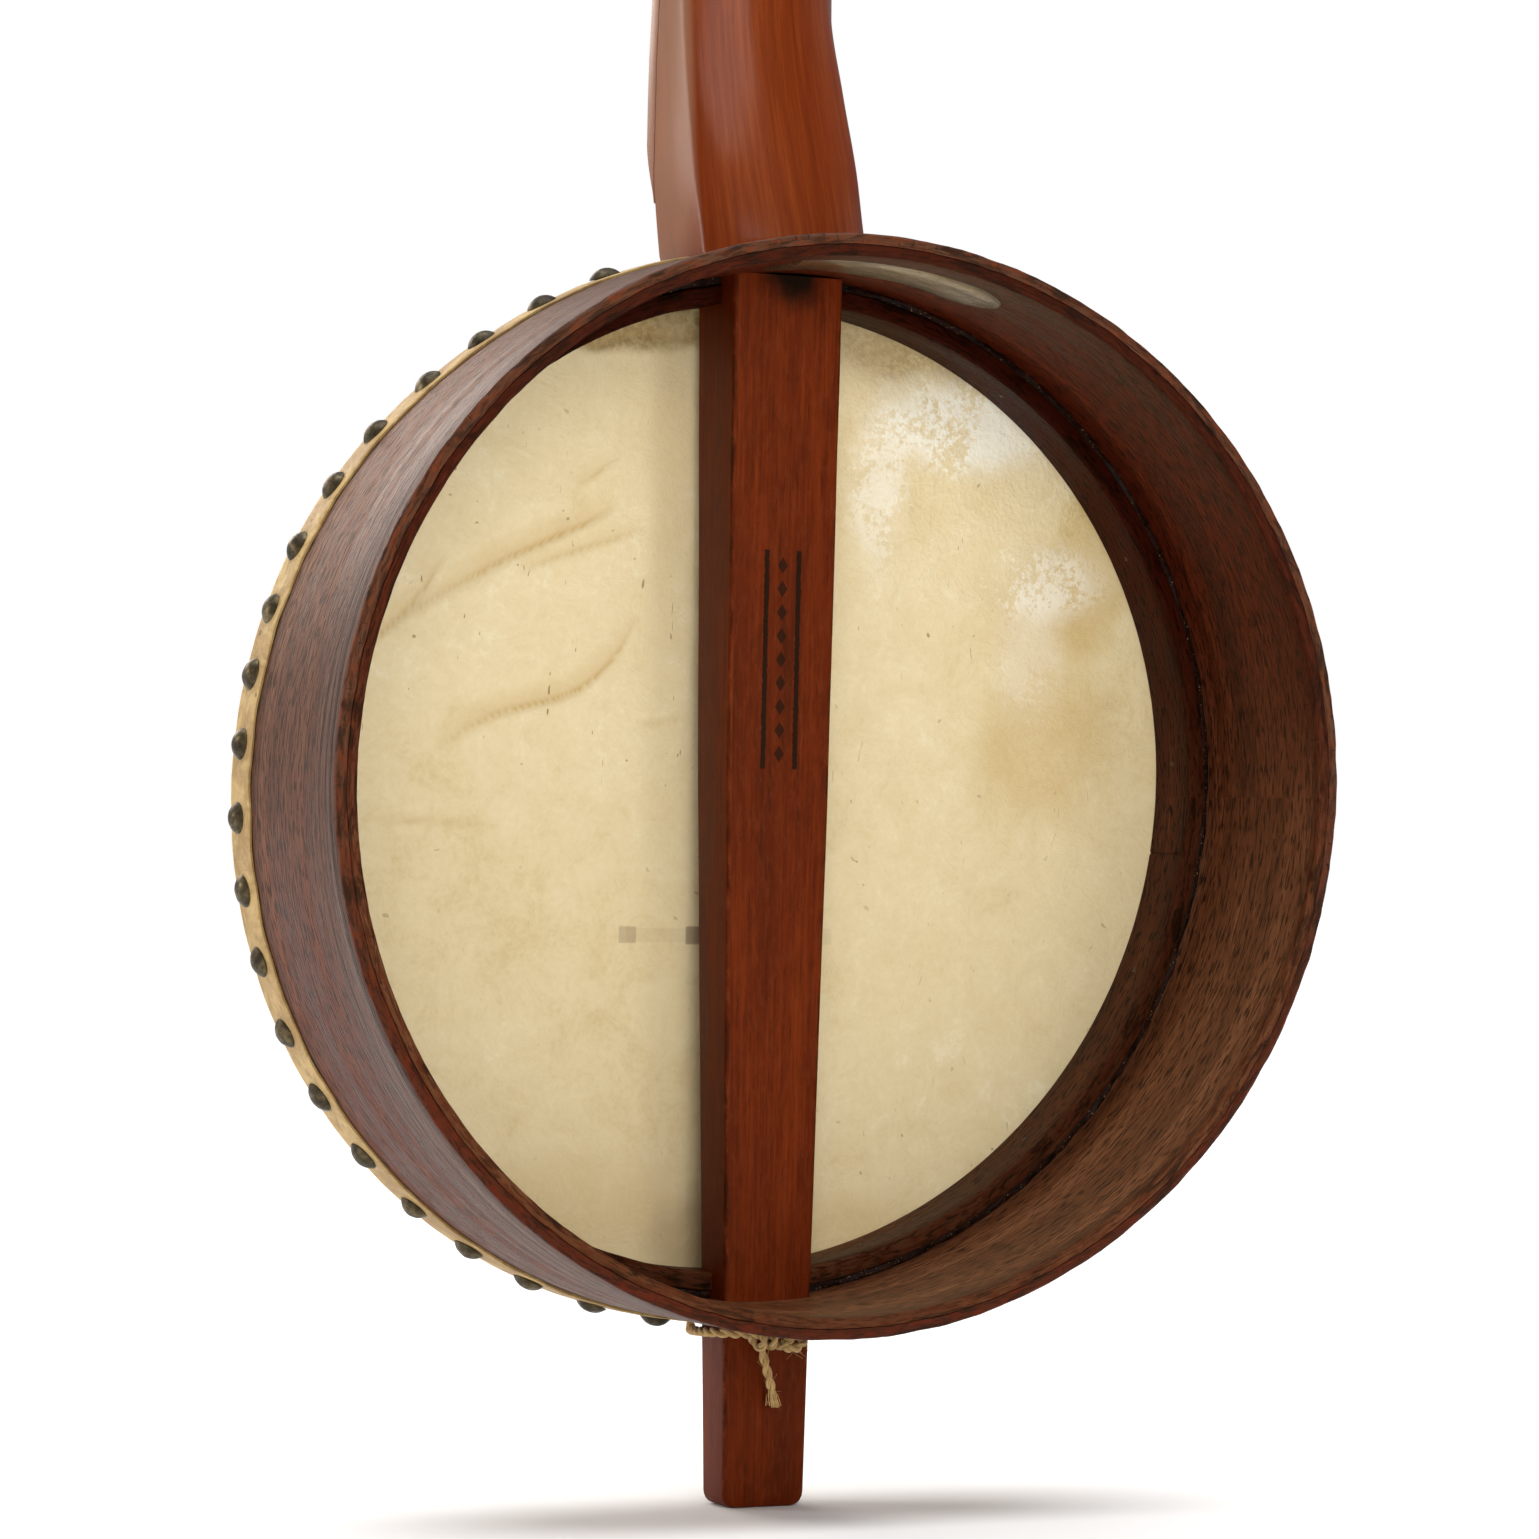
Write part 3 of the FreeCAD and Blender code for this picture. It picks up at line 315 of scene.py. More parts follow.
def burnt_ornament_and_top_shade(paint, colour):
    """Two burnt lines up the pole with a row of small diamonds between them, and a black patch of painted shadow
    at its top, under the hoop.
    """
    across = paint.plus(paint.axis("X"), -0.2 * MM)
    height = paint.axis("Z")
    ragged = paint.times(paint.minus(paint.noise(paint.place(), 900, 2), 0.5), 0.9 * MM)
    off_line = paint.size(paint.minus(paint.size(across), 5.25 * MM))
    lines = paint.between(paint.plus(off_line, ragged), 0.65 * MM, 0.95 * MM, 1, 0)
    reach = paint.size(paint.minus(height, 37.6 * MM))
    lines = paint.times(lines, paint.between(reach, 32.2 * MM, 32.8 * MM, 1, 0))
    pitch = 7.0 * MM
    step = paint.math("FRACT", paint.math("DIVIDE", paint.minus(height, 6.1 * MM), pitch))
    along = paint.times(paint.size(paint.minus(step, 0.5)), pitch / (2.6 * MM))
    wide = paint.math("DIVIDE", paint.size(across), 1.7 * MM)
    diamonds = paint.between(paint.plus(along, wide), 0.85, 1.1, 1, 0)
    diamonds = paint.times(diamonds, paint.between(reach, 31.3 * MM, 31.6 * MM, 0.85, 0))
    burnt = paint.math("MAXIMUM", lines, diamonds)
    colour = paint.mix(burnt, colour, srgb(22, 8, 3))
    # Painted shadow: the black patch where the pole meets the hoop, with a dark spot in it.
    top = paint.spot((-1, POLE_BACK, 152), (8, 0, 8.5), 1.3, 0.5, 90)
    return paint.mix(top, colour, srgb(10, 4, 2))


def heel_side_sheen(paint, colour):
    """The heel's treble side, painted greyer and paler than the back: a painted sheen where that flat side
    catches the light.
    """
    # Painted sheen on the treble side's flat.
    side = paint.between(paint.axis("X"), 25.5 * MM, 28.5 * MM, 0, 0.45)
    return paint.mix(side, colour, srgb(150, 118, 94))


def outside_marks_and_shade(paint, colour):
    """The hoop's outside: painted shade that makes it darker and redder low down, grey streaks by the back edge,
    and a dark line by the lap's edge that is part glue and part painted shadow.
    """
    # Painted shade: darker and redder toward the bottom of the hoop.
    height = paint.plus(paint.axis("Z"), paint.times(paint.noise(paint.place(), 14, 3), 0.05))
    low = paint.between(height, -0.07, 0.06, 0.85, 0)
    colour = paint.mix(low, colour, srgb(216, 122, 62), "MULTIPLY")
    depth = paint.axis("Y")
    ragged = paint.times(paint.noise(paint.place(), 500, 3), 1.6 * MM)
    # A dark line just behind the skin lap's edge: part glue, part painted shadow of that edge.
    lap = paint.between(paint.plus(depth, ragged), -65.9 * MM, -65.1 * MM, 1, 0)
    colour = paint.mix(lap, colour, srgb(24, 9, 4))
    off_edge = paint.between(depth, -26 * MM, -8 * MM, 0, 0.6)
    rubbed = paint.times(off_edge, paint.between(depth, -2.6 * MM, -1.2 * MM, 1, 0))
    lines = paint.between(paint.noise(paint.grain(7, 480), 1, 4, 0.7, 0.4), 0.5, 0.57, 0, 1.6)
    colour = paint.mix(rubbed, colour, srgb(86, 66, 58))
    return paint.mix(paint.times(lines, rubbed), colour, srgb(30, 16, 12))


def inside_top_shade(paint, colour):
    """The hoop's inside: painted shade, dark and red at the top and paler low down."""
    cloud = paint.times(paint.noise(paint.place(), 18, 3), 0.05)
    # Painted shade: the top of the inside darker and redder.
    top_shade = paint.between(paint.plus(paint.axis("Z"), cloud), -0.05, 0.1, 0, 0.92)
    return paint.mix(top_shade, colour, srgb(170, 86, 38), "MULTIPLY")


# Painted glare: near-white speckled patches on the skin's inner face that stand in for a lamp's reflection:
# where, how wide and tall, and how strong
PAINTED_GLARE_SPOTS = [((-76, 0, 113), (26, 0, 15), 0.8), ((-104, 0, 66), (20, 0, 11), 0.6),
               ((-46, 0, 92), (10, 0, 26), 0.5), ((-100, 0, 40), (12, 0, 20), 0.3)]


def skin_paint():
    """Calf skin: cream, mottled, with brown stains, short hairs, folds tinted part stain and part painted shade,
    glossy patches with painted glare on them, and painted shadows of the bridge's feet and the tailpiece.
    """
    paint = Paint("calf_skin", Specular_IOR_Level=0.45)
    place = paint.place()
    broad = paint.noise(place, 11, 5, 0.6, 0.4)
    mottle = paint.noise(place, 75, 6, 0.72, 0.6)
    grainy = paint.noise(place, 420, 4, 0.7)
    tone = paint.plus(paint.times(broad, 0.4), paint.times(mottle, 0.4))
    tone = paint.plus(tone, paint.times(grainy, 0.2))
    colour = paint.ramp(tone, [(0.36, srgb(212, 190, 140)), (0.46, srgb(223, 204, 158)),
                               (0.56, srgb(228, 211, 168)), (0.66, srgb(238, 227, 194))])
    fold_stain_and_shade = paint.wear()
    speckle = paint.between(grainy, 0.4, 0.6)
    # The folds' tan: part stain, part painted shade along each fold.
    colour = paint.mix(paint.times(fold_stain_and_shade, 0.95), colour, srgb(196, 164, 104))
    stains = [((-104, 0, 34), (20, 0, 44), 2.2, 0.5, srgb(196, 164, 96), 0.5),
              ((-120, 0, 70), (12, 0, 26), 1.8, 0.4, srgb(200, 170, 105), 0.5),
              ((-58, 0, 137), (34, 0, 12), 1.6, 0.45, srgb(160, 132, 78), 0.7),
              ((38, 0, 138), (30, 0, 8.5), 1.4, 0.25, srgb(146, 117, 58), 0.85),
              ((24, 0, 90), (7, 0, 46), 1.0, 0.6, srgb(205, 184, 138), 0.6),
              ((60, 0, -128), (40, 0, 14), 1.5, 0.6, srgb(206, 180, 126), 0.6),
              ((-40, 0, -138), (50, 0, 12), 1.5, 0.6, srgb(206, 178, 124), 0.6)]
    for centre, reach, ragged, soft, stain, strength in stains:
        mask = paint.times(paint.spot(centre, reach, ragged, soft), strength)
        mask = paint.times(mask, paint.between(speckle, 0, 1, 0.7, 1))
        colour = paint.mix(mask, colour, stain)
    # Painted shadows of the bridge's four feet and of its bar, as dark patches on the skin.
    up_bridge = paint.size(paint.minus(paint.axis("Z"), (BRIDGE_HEIGHT + 0.8) * MM))
    for x, half, tall, strength in ((35.4, 2.5, 2.2, 0.36), (13.3, 2.6, 2.4, 0.62), (-8.7, 2.5, 2.3, 0.4),
                                    (-30, 2.5, 2.2, 0.12), (13.5, 22, 1.8, 0.1)):
        along = paint.size(paint.minus(paint.axis("X"), x * MM))
        foot_shadow_across = paint.between(along, half * MM, (half + 0.6) * MM, strength, 0)
        foot = paint.times(foot_shadow_across, paint.between(up_bridge, tall * MM, (tall + 0.6) * MM, 1, 0))
        colour = paint.mix(foot, colour, srgb(112, 82, 58))
    # Painted shadow of the tailpiece on the skin.
    tail = paint.spot((4, 0, -138), (21, 0, 17), 0.4, 0.35)
    colour = paint.mix(paint.times(tail, 0.38), colour, srgb(136, 103, 62))
    hairs = paint.between(paint.noise(paint.node("Mapping", {0: place, 3: (300, 300, 90)}).outputs[0],
                                      1, 1, 0.5, 2.5), 0.74, 0.78)
    dots = paint.between(paint.noise(place, 260, 1), 0.75, 0.79)
    marked = paint.math("MAXIMUM", hairs, dots)
    flecks = paint.times(marked, paint.between(paint.noise(place, 9, 3), 0.42, 0.62, 0.15, 0.8))
    colour = paint.mix(flecks, colour, srgb(128, 94, 50))
    polished = paint.spot((-82, 0, 104), (52, 0, 40), 2.4, 0.35, 55)
    gloss = paint.plus(paint.between(polished, 0, 1, 0.6, 0.24), paint.between(grainy, 0.3, 0.7, 0.08, -0.08))
    blotches = paint.times(paint.noise(place, 30, 3), 0.55)
    broken = paint.plus(blotches, paint.times(paint.noise(place, 420, 5, 0.75), 0.45))
    normal = paint.node("NewGeometry", {}).outputs["Normal"]
    inner_face = paint.between(paint.node("SeparateXYZ", {0: normal}).outputs["Y"], -0.2, 0.2)
    # Painted glare: near-white speckles over the glossy patches of the inner face.
    for centre, reach, strength in PAINTED_GLARE_SPOTS:
        inside = paint.spot(centre, reach, 1.2, 0.45, 60)
        glare_speckle = paint.times(inside, paint.between(broken, 0.47, 0.53, 0.1, strength))
        glare_speckle = paint.times(glare_speckle, inner_face)
        colour = paint.mix(glare_speckle, colour, srgb(248, 245, 230))
    pebbles = paint.times(paint.cells(place, 620), paint.between(polished, 0, 1, 0.5, 1.0))
    lapped = paint.between(paint.axis("Y"), -80.9 * MM, -80.2 * MM)
    worn_lap = paint.mix(paint.between(mottle, 0.4, 0.62), srgb(172, 150, 116), srgb(204, 186, 152))
    colour = paint.mix(lapped, colour, worn_lap, "MULTIPLY")
    waves = paint.bump(mottle, 0.5, 1.6, paint.bump(broad, 0.2, 6))
    normal = paint.bump(paint.plus(pebbles, grainy), 0.32, 0.35, waves)
    return paint.finish(colour, gloss, normal)


def tack_paint():
    """Old bronze: dark olive-brown, dull, with rubbed lighter spots on the domes."""
    paint = Paint("old_bronze", Metallic=0.75)
    place = paint.place()
    cloud = paint.noise(place, 240, 4, 0.65)
    colour = paint.ramp(cloud, [(0.36, srgb(40, 32, 19)), (0.52, srgb(66, 56, 37)), (0.66, srgb(98, 86, 58))])
    dark = paint.between(paint.noise(place, 900, 2), 0.6, 0.72)
    colour = paint.mix(paint.times(dark, 0.7), colour, srgb(24, 17, 10))
    return paint.finish(colour, paint.between(cloud, 0.35, 0.65, 0.56, 0.4), paint.bump(cloud, 0.25, 0.25))


def glue_paint():
    """Old hide glue: almost black, glossy, with pale hairs and crumbs caught in it."""
    paint = Paint("old_glue", Specular_IOR_Level=0.1)
    place = paint.place()
    lumps = paint.noise(place, 420, 4, 0.7)
    crumbs = paint.between(paint.noise(place, 1500, 1), 0.68, 0.73)
    colour = paint.ramp(lumps, [(0.4, srgb(14, 6, 3)), (0.65, srgb(44, 20, 9))])
    colour = paint.mix(paint.times(crumbs, 0.8), colour, srgb(150, 124, 92))
    return paint.finish(colour, paint.between(lumps, 0.3, 0.7, 0.35, 0.6), paint.bump(lumps, 0.6, 0.8))


def tongue_paint():
    """The scarfed end under streaks of clear old glue: grey-brown, with a soft shine."""
    paint = Paint("glued_lap", Coat_Weight=0.3, Coat_Roughness=0.2)
    smear = paint.noise(paint.grain(35, 130), 1, 5, 0.65, 0.8)
    colour = paint.ramp(smear, [(0.36, srgb(44, 26, 12)), (0.5, srgb(72, 50, 28)), (0.64, srgb(104, 84, 56))])
    fibres = paint.noise(paint.grain(60, 1500), 1, 3)
    return paint.finish(colour, paint.between(smear, 0.35, 0.65, 0.45, 0.22), paint.bump(fibres, 0.2, 0.3))


def twine_paint():
    """Unbleached twine: fine yarns that lie across the strand, with painted shade that darkens its hollows."""
    paint = Paint("twine_fibre", Roughness=0.85, Sheen_Weight=0.3)
    yarns = paint.noise(paint.slanted(0.6, 260, 3200), 1, 3, 0.6)
    stain = paint.noise(paint.place(), 160, 3)
    # Painted shade: the yarn noise that makes the bump's hollows also darkens them.
    colour = paint.ramp(yarns, [(0.3, srgb(120, 90, 44)), (0.5, srgb(182, 146, 86)),
                                (0.7, srgb(222, 190, 126))])
    colour = paint.mix(paint.between(stain, 0.5, 0.72, 0, 0.5), colour, srgb(140, 108, 66))
    return paint.finish(colour, None, paint.bump(yarns, 0.7, 0.25))


def bone_paint():
    paint = Paint("old_bone", Roughness=0.32, Subsurface_Weight=0.1)
    paint.shader.inputs["Subsurface Radius"].default_value = (0.002, 0.001, 0.0006)
    streaks = paint.noise(paint.grain(160, 900), 1, 4, 0.6)
    pits = paint.between(paint.noise(paint.place(), 2200, 1), 0.66, 0.74)
    colour = paint.ramp(streaks, [(0.35, srgb(212, 194, 152)), (0.6, srgb(238, 228, 200))])
    colour = paint.mix(paint.times(pits, 0.5), colour, srgb(150, 120, 76))
    return paint.finish(colour, None, paint.bump(streaks, 0.1, 0.1))


def gut_paint():
    """Twisted gut: honey-coloured and slightly clear, with a fine spiral."""
    paint = Paint("gut", Roughness=0.36, Transmission_Weight=0.15)
    spiral = paint.noise(paint.slanted(0.7, 900, 2600), 1, 2)
    colour = paint.ramp(spiral, [(0.35, srgb(196, 164, 104)), (0.65, srgb(232, 208, 156))])
    return paint.finish(colour, None, paint.bump(spiral, 0.3, 0.05))


def steel_paint():
    paint = Paint("brad_steel", Metallic=0.85)
    rust = paint.noise(paint.place(), 1400, 3)
    colour = paint.ramp(rust, [(0.4, srgb(30, 18, 12)), (0.6, srgb(104, 92, 80))])
    return paint.finish(colour, paint.between(rust, 0.35, 0.65, 0.6, 0.35))


# ---------------------------------------------------------------- mesh work

CREASE = 35         # faces that meet at more than this many degrees keep a sharp edge
END_GRAIN = 20      # how much the grain coordinates are stretched on sawn ends, so that pores are dots


class Shape:
    """Points, faces and, for each face corner, its place along and across the grain."""

    def __init__(self):
        self.points = []
        self.faces = []
        self.grain = []
        self.wear = []

    def face(self, corners, grain):
        self.faces.append(tuple(corners))
        self.grain.append(tuple(grain))

    def add(self, points, wear=None):
        first = len(self.points)
        self.points.extend(Vector(point) for point in points)
        self.wear.extend(wear if wear else [0.0] * len(points))
        return first

    def cap(self, corners, flip=False):
        """A flat or domed end, as one face whose pores are dots."""
        order = list(reversed(corners)) if flip else list(corners)
        places = [self.points[index] for index in order]
        wide = [max(p[k] for p in places) - min(p[k] for p in places) for k in range(3)]
        thin = wide.index(min(wide))
        first, second = [k for k in range(3) if k != thin]
        self.face(order, [(p[first] * END_GRAIN, p[second]) for p in places])

    def fan(self, ring, tip, flip, grain):
        """Closes a ring of corners with triangles that meet at one point."""
        last = self.add([tip])
        for a, b in zip(ring, ring[1:] + ring[:1]):
            corners = (b, a, last) if flip else (a, b, last)
            self.face(corners, [grain(self.points[c]) for c in corners])

    def loft(self, rows, along=None, wear=None, wrap=False, caps=True):
        """Skins over rows of points, each a closed ring. wrap joins the last row to the first."""
        count = len(rows[0])
        if along is None:
            along = lengths([sum((Vector(p) for p in row), Vector()) / count for row in rows])
        middle = rows[len(rows) // 2]
        across = lengths(list(middle) + [middle[0]])
        starts = [self.add(row, wear[i] if wear else None) for i, row in enumerate(rows)]
        for i in range(len(rows) - (0 if wrap else 1)):
            here, there = starts[i], starts[(i + 1) % len(rows)]
            for j in range(count):
                k = (j + 1) % count
                self.face((here + j, here + k, there + k, there + j),
                          ((along[i], across[j]), (along[i], across[j + 1]),
                           (along[i + 1], across[j + 1]), (along[i + 1], across[j])))
        if caps and not wrap:
            self.cap(range(starts[0], starts[0] + count), True)
            self.cap(range(starts[-1], starts[-1] + count))
        return starts

    def turned(self, profile, steps, put):
        """Revolves (radius, height) pairs about Z. A radius of 0 at either end closes there."""
        inner = [pair for pair in profile if pair[0] > 0]
        around = [step * TAU / steps for step in range(steps)]
        rows = [[put(Vector((r * math.cos(a), r * math.sin(a), z))) for a in around] for r, z in inner]
        starts = self.loft(rows, caps=False)
        for pair, start, flip in ((profile[0], starts[0], True), (profile[-1], starts[-1], False)):
            ring = list(range(start, start + steps))
            if pair[0] > 0:
                self.cap(ring, flip)
            else:
                self.fan(ring, put(Vector((0, 0, pair[1]))), flip, lambda p: (p.x * END_GRAIN, p.z))

    def tube(self, path, radius, sides=8, wear=None):
        """A round tube along a path. radius is one number, or one for each point."""
        path = [Vector(point) for point in path]
        radii = radius if isinstance(radius, list) else [radius] * len(path)
        rows = []
        for (point, side, other), r in zip(framed(path), radii):
            turns = [j * TAU / sides for j in range(sides)]
            rows.append([point + (side * math.cos(a) + other * math.sin(a)) * r for a in turns])
        self.loft(rows, lengths(path), wear=wear)

    def slab(self, outline, back, front, put):
        """A plate of that outline of (x, up) pairs between two depths."""
        first, second = [self.add([put(x, up, depth) for x, up in outline]) for depth in (back, front)]
        count = len(outline)
        edge = lengths([Vector((x, up, 0)) for x, up in outline] + [Vector((*outline[0], 0))])
        for j in range(count):
            k = (j + 1) % count
            self.face((first + j, first + k, second + k, second + j),
                      ((edge[j], 0), (edge[j + 1], 0), (edge[j + 1], front - back), (edge[j], front - back)))
        self.face(range(first + count - 1, first - 1, -1), [(up, x) for x, up in reversed(outline)])
        self.face(range(second, second + count), [(up, x) for x, up in outline])


def lengths(points):
    """The distance along a line of points to each of them."""
    total = [0.0]
    for a, b in zip(points, points[1:]):
        total.append(total[-1] + (Vector(b) - Vector(a)).length)
    return total


def framed(path):
    """Each point of a path with two directions square to it, which turn as little as they can."""
    found = []
    tangent = (path[1] - path[0]).normalized()
    side = tangent.orthogonal().normalized()
    for i, point in enumerate(path):
        ahead = path[min(i + 1, len(path) - 1)] - path[max(i - 1, 0)]
        tangent = ahead.normalized()
        side = (side - tangent * side.dot(tangent)).normalized()
        found.append((point, side, tangent.cross(side)))
    return found


def curve_through(points, per_span=8):
    """A smooth line through points, several steps to each span."""
    points = [Vector(point) for point in points]
    ends = [points[0] * 2 - points[1]] + points + [points[-1] * 2 - points[-2]]
    line = []
    for a, b, c, d in zip(ends, ends[1:], ends[2:], ends[3:]):
        for step in range(per_span):
            t = step / per_span
            line.append(0.5 * (2 * b + (c - a) * t + (2 * a - 5 * b + 4 * c - d) * t ** 2
                               + (3 * b - a - 3 * c + d) * t ** 3))
    return line + [points[-1]]


def strands(path, thick, pitch, phase=0.0):
    """The centre lines of the two strands that make a twisted cord along a path."""
    core = thick * 0.25
    found = []
    for ply in range(2):
        line = []
        for (point, side, other), far in zip(framed(path), lengths(path)):
            turn = phase + ply * TAU / 2 + TAU * far / pitch
            line.append(point + (side * math.cos(turn) + other * math.sin(turn)) * core)
        found.append(line)
    return found


def soften(corners, radii, steps=3):
    """Rounds the corners of a closed outline, each by its own radius."""
    line = []
    corners = [Vector(corner) for corner in corners]
    for i, (corner, radius) in enumerate(zip(corners, radii)):
        if not radius:
            line.append(corner)
            continue
        before = (corners[i - 1] - corner).normalized() * radius + corner
        after = (corners[(i + 1) % len(corners)] - corner).normalized() * radius + corner
        for step in range(steps + 1):
            t = step / steps
            line.append(before * (1 - t) ** 2 + corner * 2 * t * (1 - t) + after * t ** 2)
    return line


def mark_sharp(mesh, angle):
    """Smooth shading, with a crease wherever two faces meet at more than an angle."""
    work = bmesh.new()
    work.from_mesh(mesh)
    for face in work.faces:
        face.smooth = True
    for edge in work.edges:
        edge.smooth = len(edge.link_faces) == 2 and edge.calc_face_angle(0) < math.radians(angle)
    work.to_mesh(mesh)
    work.free()


def add_object(name, data):
    made = bpy.data.objects.new(name, data)
    bpy.context.scene.collection.objects.link(made)
    return made


def mesh_of(shape, name, angle=CREASE):
    mesh = bpy.data.meshes.new(name)
    mesh.from_pydata([point * MM for point in shape.points], [], shape.faces)
    layer = mesh.uv_layers.new(name="grain")
    flat = [value * MM for face in shape.grain for pair in face for value in pair]
    layer.data.foreach_set("uv", flat)
    wear = mesh.attributes.new("wear", "FLOAT", "POINT")
    wear.data.foreach_set("value", shape.wear)
    work = bmesh.new()
    work.from_mesh(mesh)
    bmesh.ops.recalc_face_normals(work, faces=work.faces)
    work.to_mesh(mesh)
    work.free()
    mark_sharp(mesh, angle)
    return mesh


def piece(shape, name, material, replaced, body="instrument", edge=0.0, angle=CREASE):
    """Puts a shape in the scene as one piece of the object, in place of CAD nodes."""
    made = add_object(name, mesh_of(shape, name, angle))
    made.data.materials.append(material)
    if edge:
        bevel = made.modifiers.new("eased_edges", "BEVEL")
        bevel.width = edge * MM
        bevel.segments = 3
        bevel.limit_method = "ANGLE"
        bevel.angle_limit = math.radians(32)
        bevel.harden_normals = True
    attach(made, body)
    if replaced:
        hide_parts(replaced)
    return made


def carve(made, cutter):
    """Cuts a shape's solids out of a piece."""
    tool = add_object("cutter", mesh_of(cutter, "cutter"))
    cut = made.modifiers.new("cut", "BOOLEAN")
    cut.operation = "DIFFERENCE"
    cut.solver = "EXACT"
    cut.object = tool
    waiting = [(m.name, m.show_viewport) for m in made.modifiers if m.type == "BEVEL"]
    for name, _ in waiting:
        made.modifiers[name].show_viewport = False
    graph = bpy.context.evaluated_depsgraph_get()
    mesh = bpy.data.meshes.new_from_object(made.evaluated_get(graph), preserve_all_data_layers=True,
                                           depsgraph=graph)
    made.modifiers.remove(cut)
    made.data = mesh
    for name, shown in waiting:
        made.modifiers[name].show_viewport = shown
    bpy.data.objects.remove(tool)
    mark_sharp(mesh, CREASE)


def ripple(*place, size=10.0):
    """Smooth seeded unevenness, about -1 to 1, with bumps of that size in millimetres."""
    return noise.noise(Vector(place) / size)


# ---------------------------------------------------------------- twine

def twine_route():
    """The loop's smooth line, read from a NURBS curve through the route's points."""
    other = [(-x, y, z) for x, y, z in reversed(TWINE_SIDE)]
    points = TWINE_SIDE + [TWINE_MIDDLE] + other
    curve = bpy.data.curves.new("twine_route", "CURVE")
    curve.dimensions = "3D"
    spline = curve.splines.new("NURBS")
    spline.points.add(len(points) - 1)
    for control, (x, y, z) in zip(spline.points, points):
        control.co = (x * MM, y * MM, z * MM, 1)
    spline.order_u = 3
    spline.use_endpoint_u = True
    spline.resolution_u = 24
    holder = bpy.data.objects.new("twine_route", curve)
    mesh = bpy.data.meshes.new_from_object(holder)
    line = [vertex.co / MM for vertex in mesh.vertices]
    bpy.data.objects.remove(holder)
    return line


def add_fuzz(shape, line, dice, count, long):
    """Loose fibre ends that stand off the twine."""
    for _ in range(count):
        at = dice.randrange(1, len(line) - 1)
        outward = Vector([dice.gauss(0, 1) for _ in range(3)]).normalized()
        along = (line[at + 1] - line[at]).normalized()
        start = line[at] + outward * TWINE_THICK * 0.4
        reach = long * dice.uniform(0.4, 1)
        bend = along * reach * dice.uniform(-0.9, 0.9)
        middle = start + outward * reach * 0.5 + bend * 0.3
        shape.tube(curve_through([start, middle, start + outward * reach + bend], 3), 0.055, 3)


def twine(paint):
    """The loop from the tailpiece round the stub, its knot behind the stub, and its frayed end."""
    dice = random.Random(5)
    route = twine_route()
    loop = Shape()
    for line in strands(route, TWINE_THICK, 7.5):
        loop.tube(line, TWINE_THICK * 0.27, 10)
    loop_piece = piece(loop, "twine_loop", paint, "tail_cord", angle=60)

    knot = Shape()
    middle = Vector((-1.6, -48.8, -163.7))
    hitch = []
    for step in range(73):
        t = step / 72
        turn = TAU * 2.6 * t + 2.2
        far = 1.95 + 0.25 * math.sin(turn * 0.5)
        hitch.append(Vector((6.2 - 9.0 * t + 0.5 * math.sin(turn), middle.y + far * math.cos(turn),
                             middle.z + far * math.sin(turn))))
    eye = curve_through([(-2.6, -46.9, -165.5), (-5.6, -46.5, -166.4), (-8.7, -47.2, -165.2),
                         (-9.6, -48.4, -163.2), (-7.6, -47.4, -162.6), (-5.2, -46.7, -163.3),
                         (-3.4, -47.6, -164.3)], 9)
    for path, phase in ((hitch, 0.4), (eye, 1.1)):
        for line in strands(path, TWINE_THICK * 0.9, 7.0, phase=phase):
            knot.tube(line, TWINE_THICK * 0.25, 9)
    add_fuzz(knot, hitch, dice, 16, 2.2)
    add_fuzz(knot, eye, dice, 34, 3.4)
    knot_piece = piece(knot, "twine_knot", paint, "tail_knot", angle=60)

    end = Shape()
    tail = curve_through(TWINE_END, 14)
    loose = len(tail) - 7
    for line in strands(tail, TWINE_THICK * 0.95, 8.0, phase=0.9):
        thick = [TWINE_THICK * 0.26] * loose
        thick += [TWINE_THICK * (0.26 - 0.03 * k) for k in range(1, len(line) - loose + 1)]
        end.tube(line, thick, 10)
    start, tip = tail[loose], tail[-1]
    down = (tip - start).normalized()
    for _ in range(70):
        spread = Vector((dice.gauss(0, 1), dice.gauss(0, 0.7), 0))
        root = start + spread * 0.45
        tip_at = start + down * dice.uniform(4.6, 5.6) + spread * dice.uniform(0.6, 1.0)
        end.tube(curve_through([root, (root + tip_at) / 2 + spread * 0.1, tip_at], 3), 0.13, 4)
    for k in range(3):
        curl = [tip + Vector((1.2 + 0.8 * k, 0.3, 1.0)), tip + Vector((2.4 + 0.5 * k, 0.5, 0.4 - k * 0.4)),
                tip + Vector((3.2, 0.6, 1.2 + 0.8 * k))]
        end.tube(curve_through(curl, 4), 0.07, 3)
    add_fuzz(end, tail, dice, 26, 1.6)
    end_piece = piece(end, "twine_tail", paint, "tail_cord_end", angle=60)
    [value * MM for value in TWINE_SIDE[0]]


# ---------------------------------------------------------------- pot

# Flats and bulges of the hoop: middle and reach in degrees, how far out the back and the head edge go
BENDS = [(54, 21, -0.2, -2.5), (160, 36, 1.3, 0.0), (-122, 24, -0.6, 0.0), (-22, 30, 0.0, 0.7)]


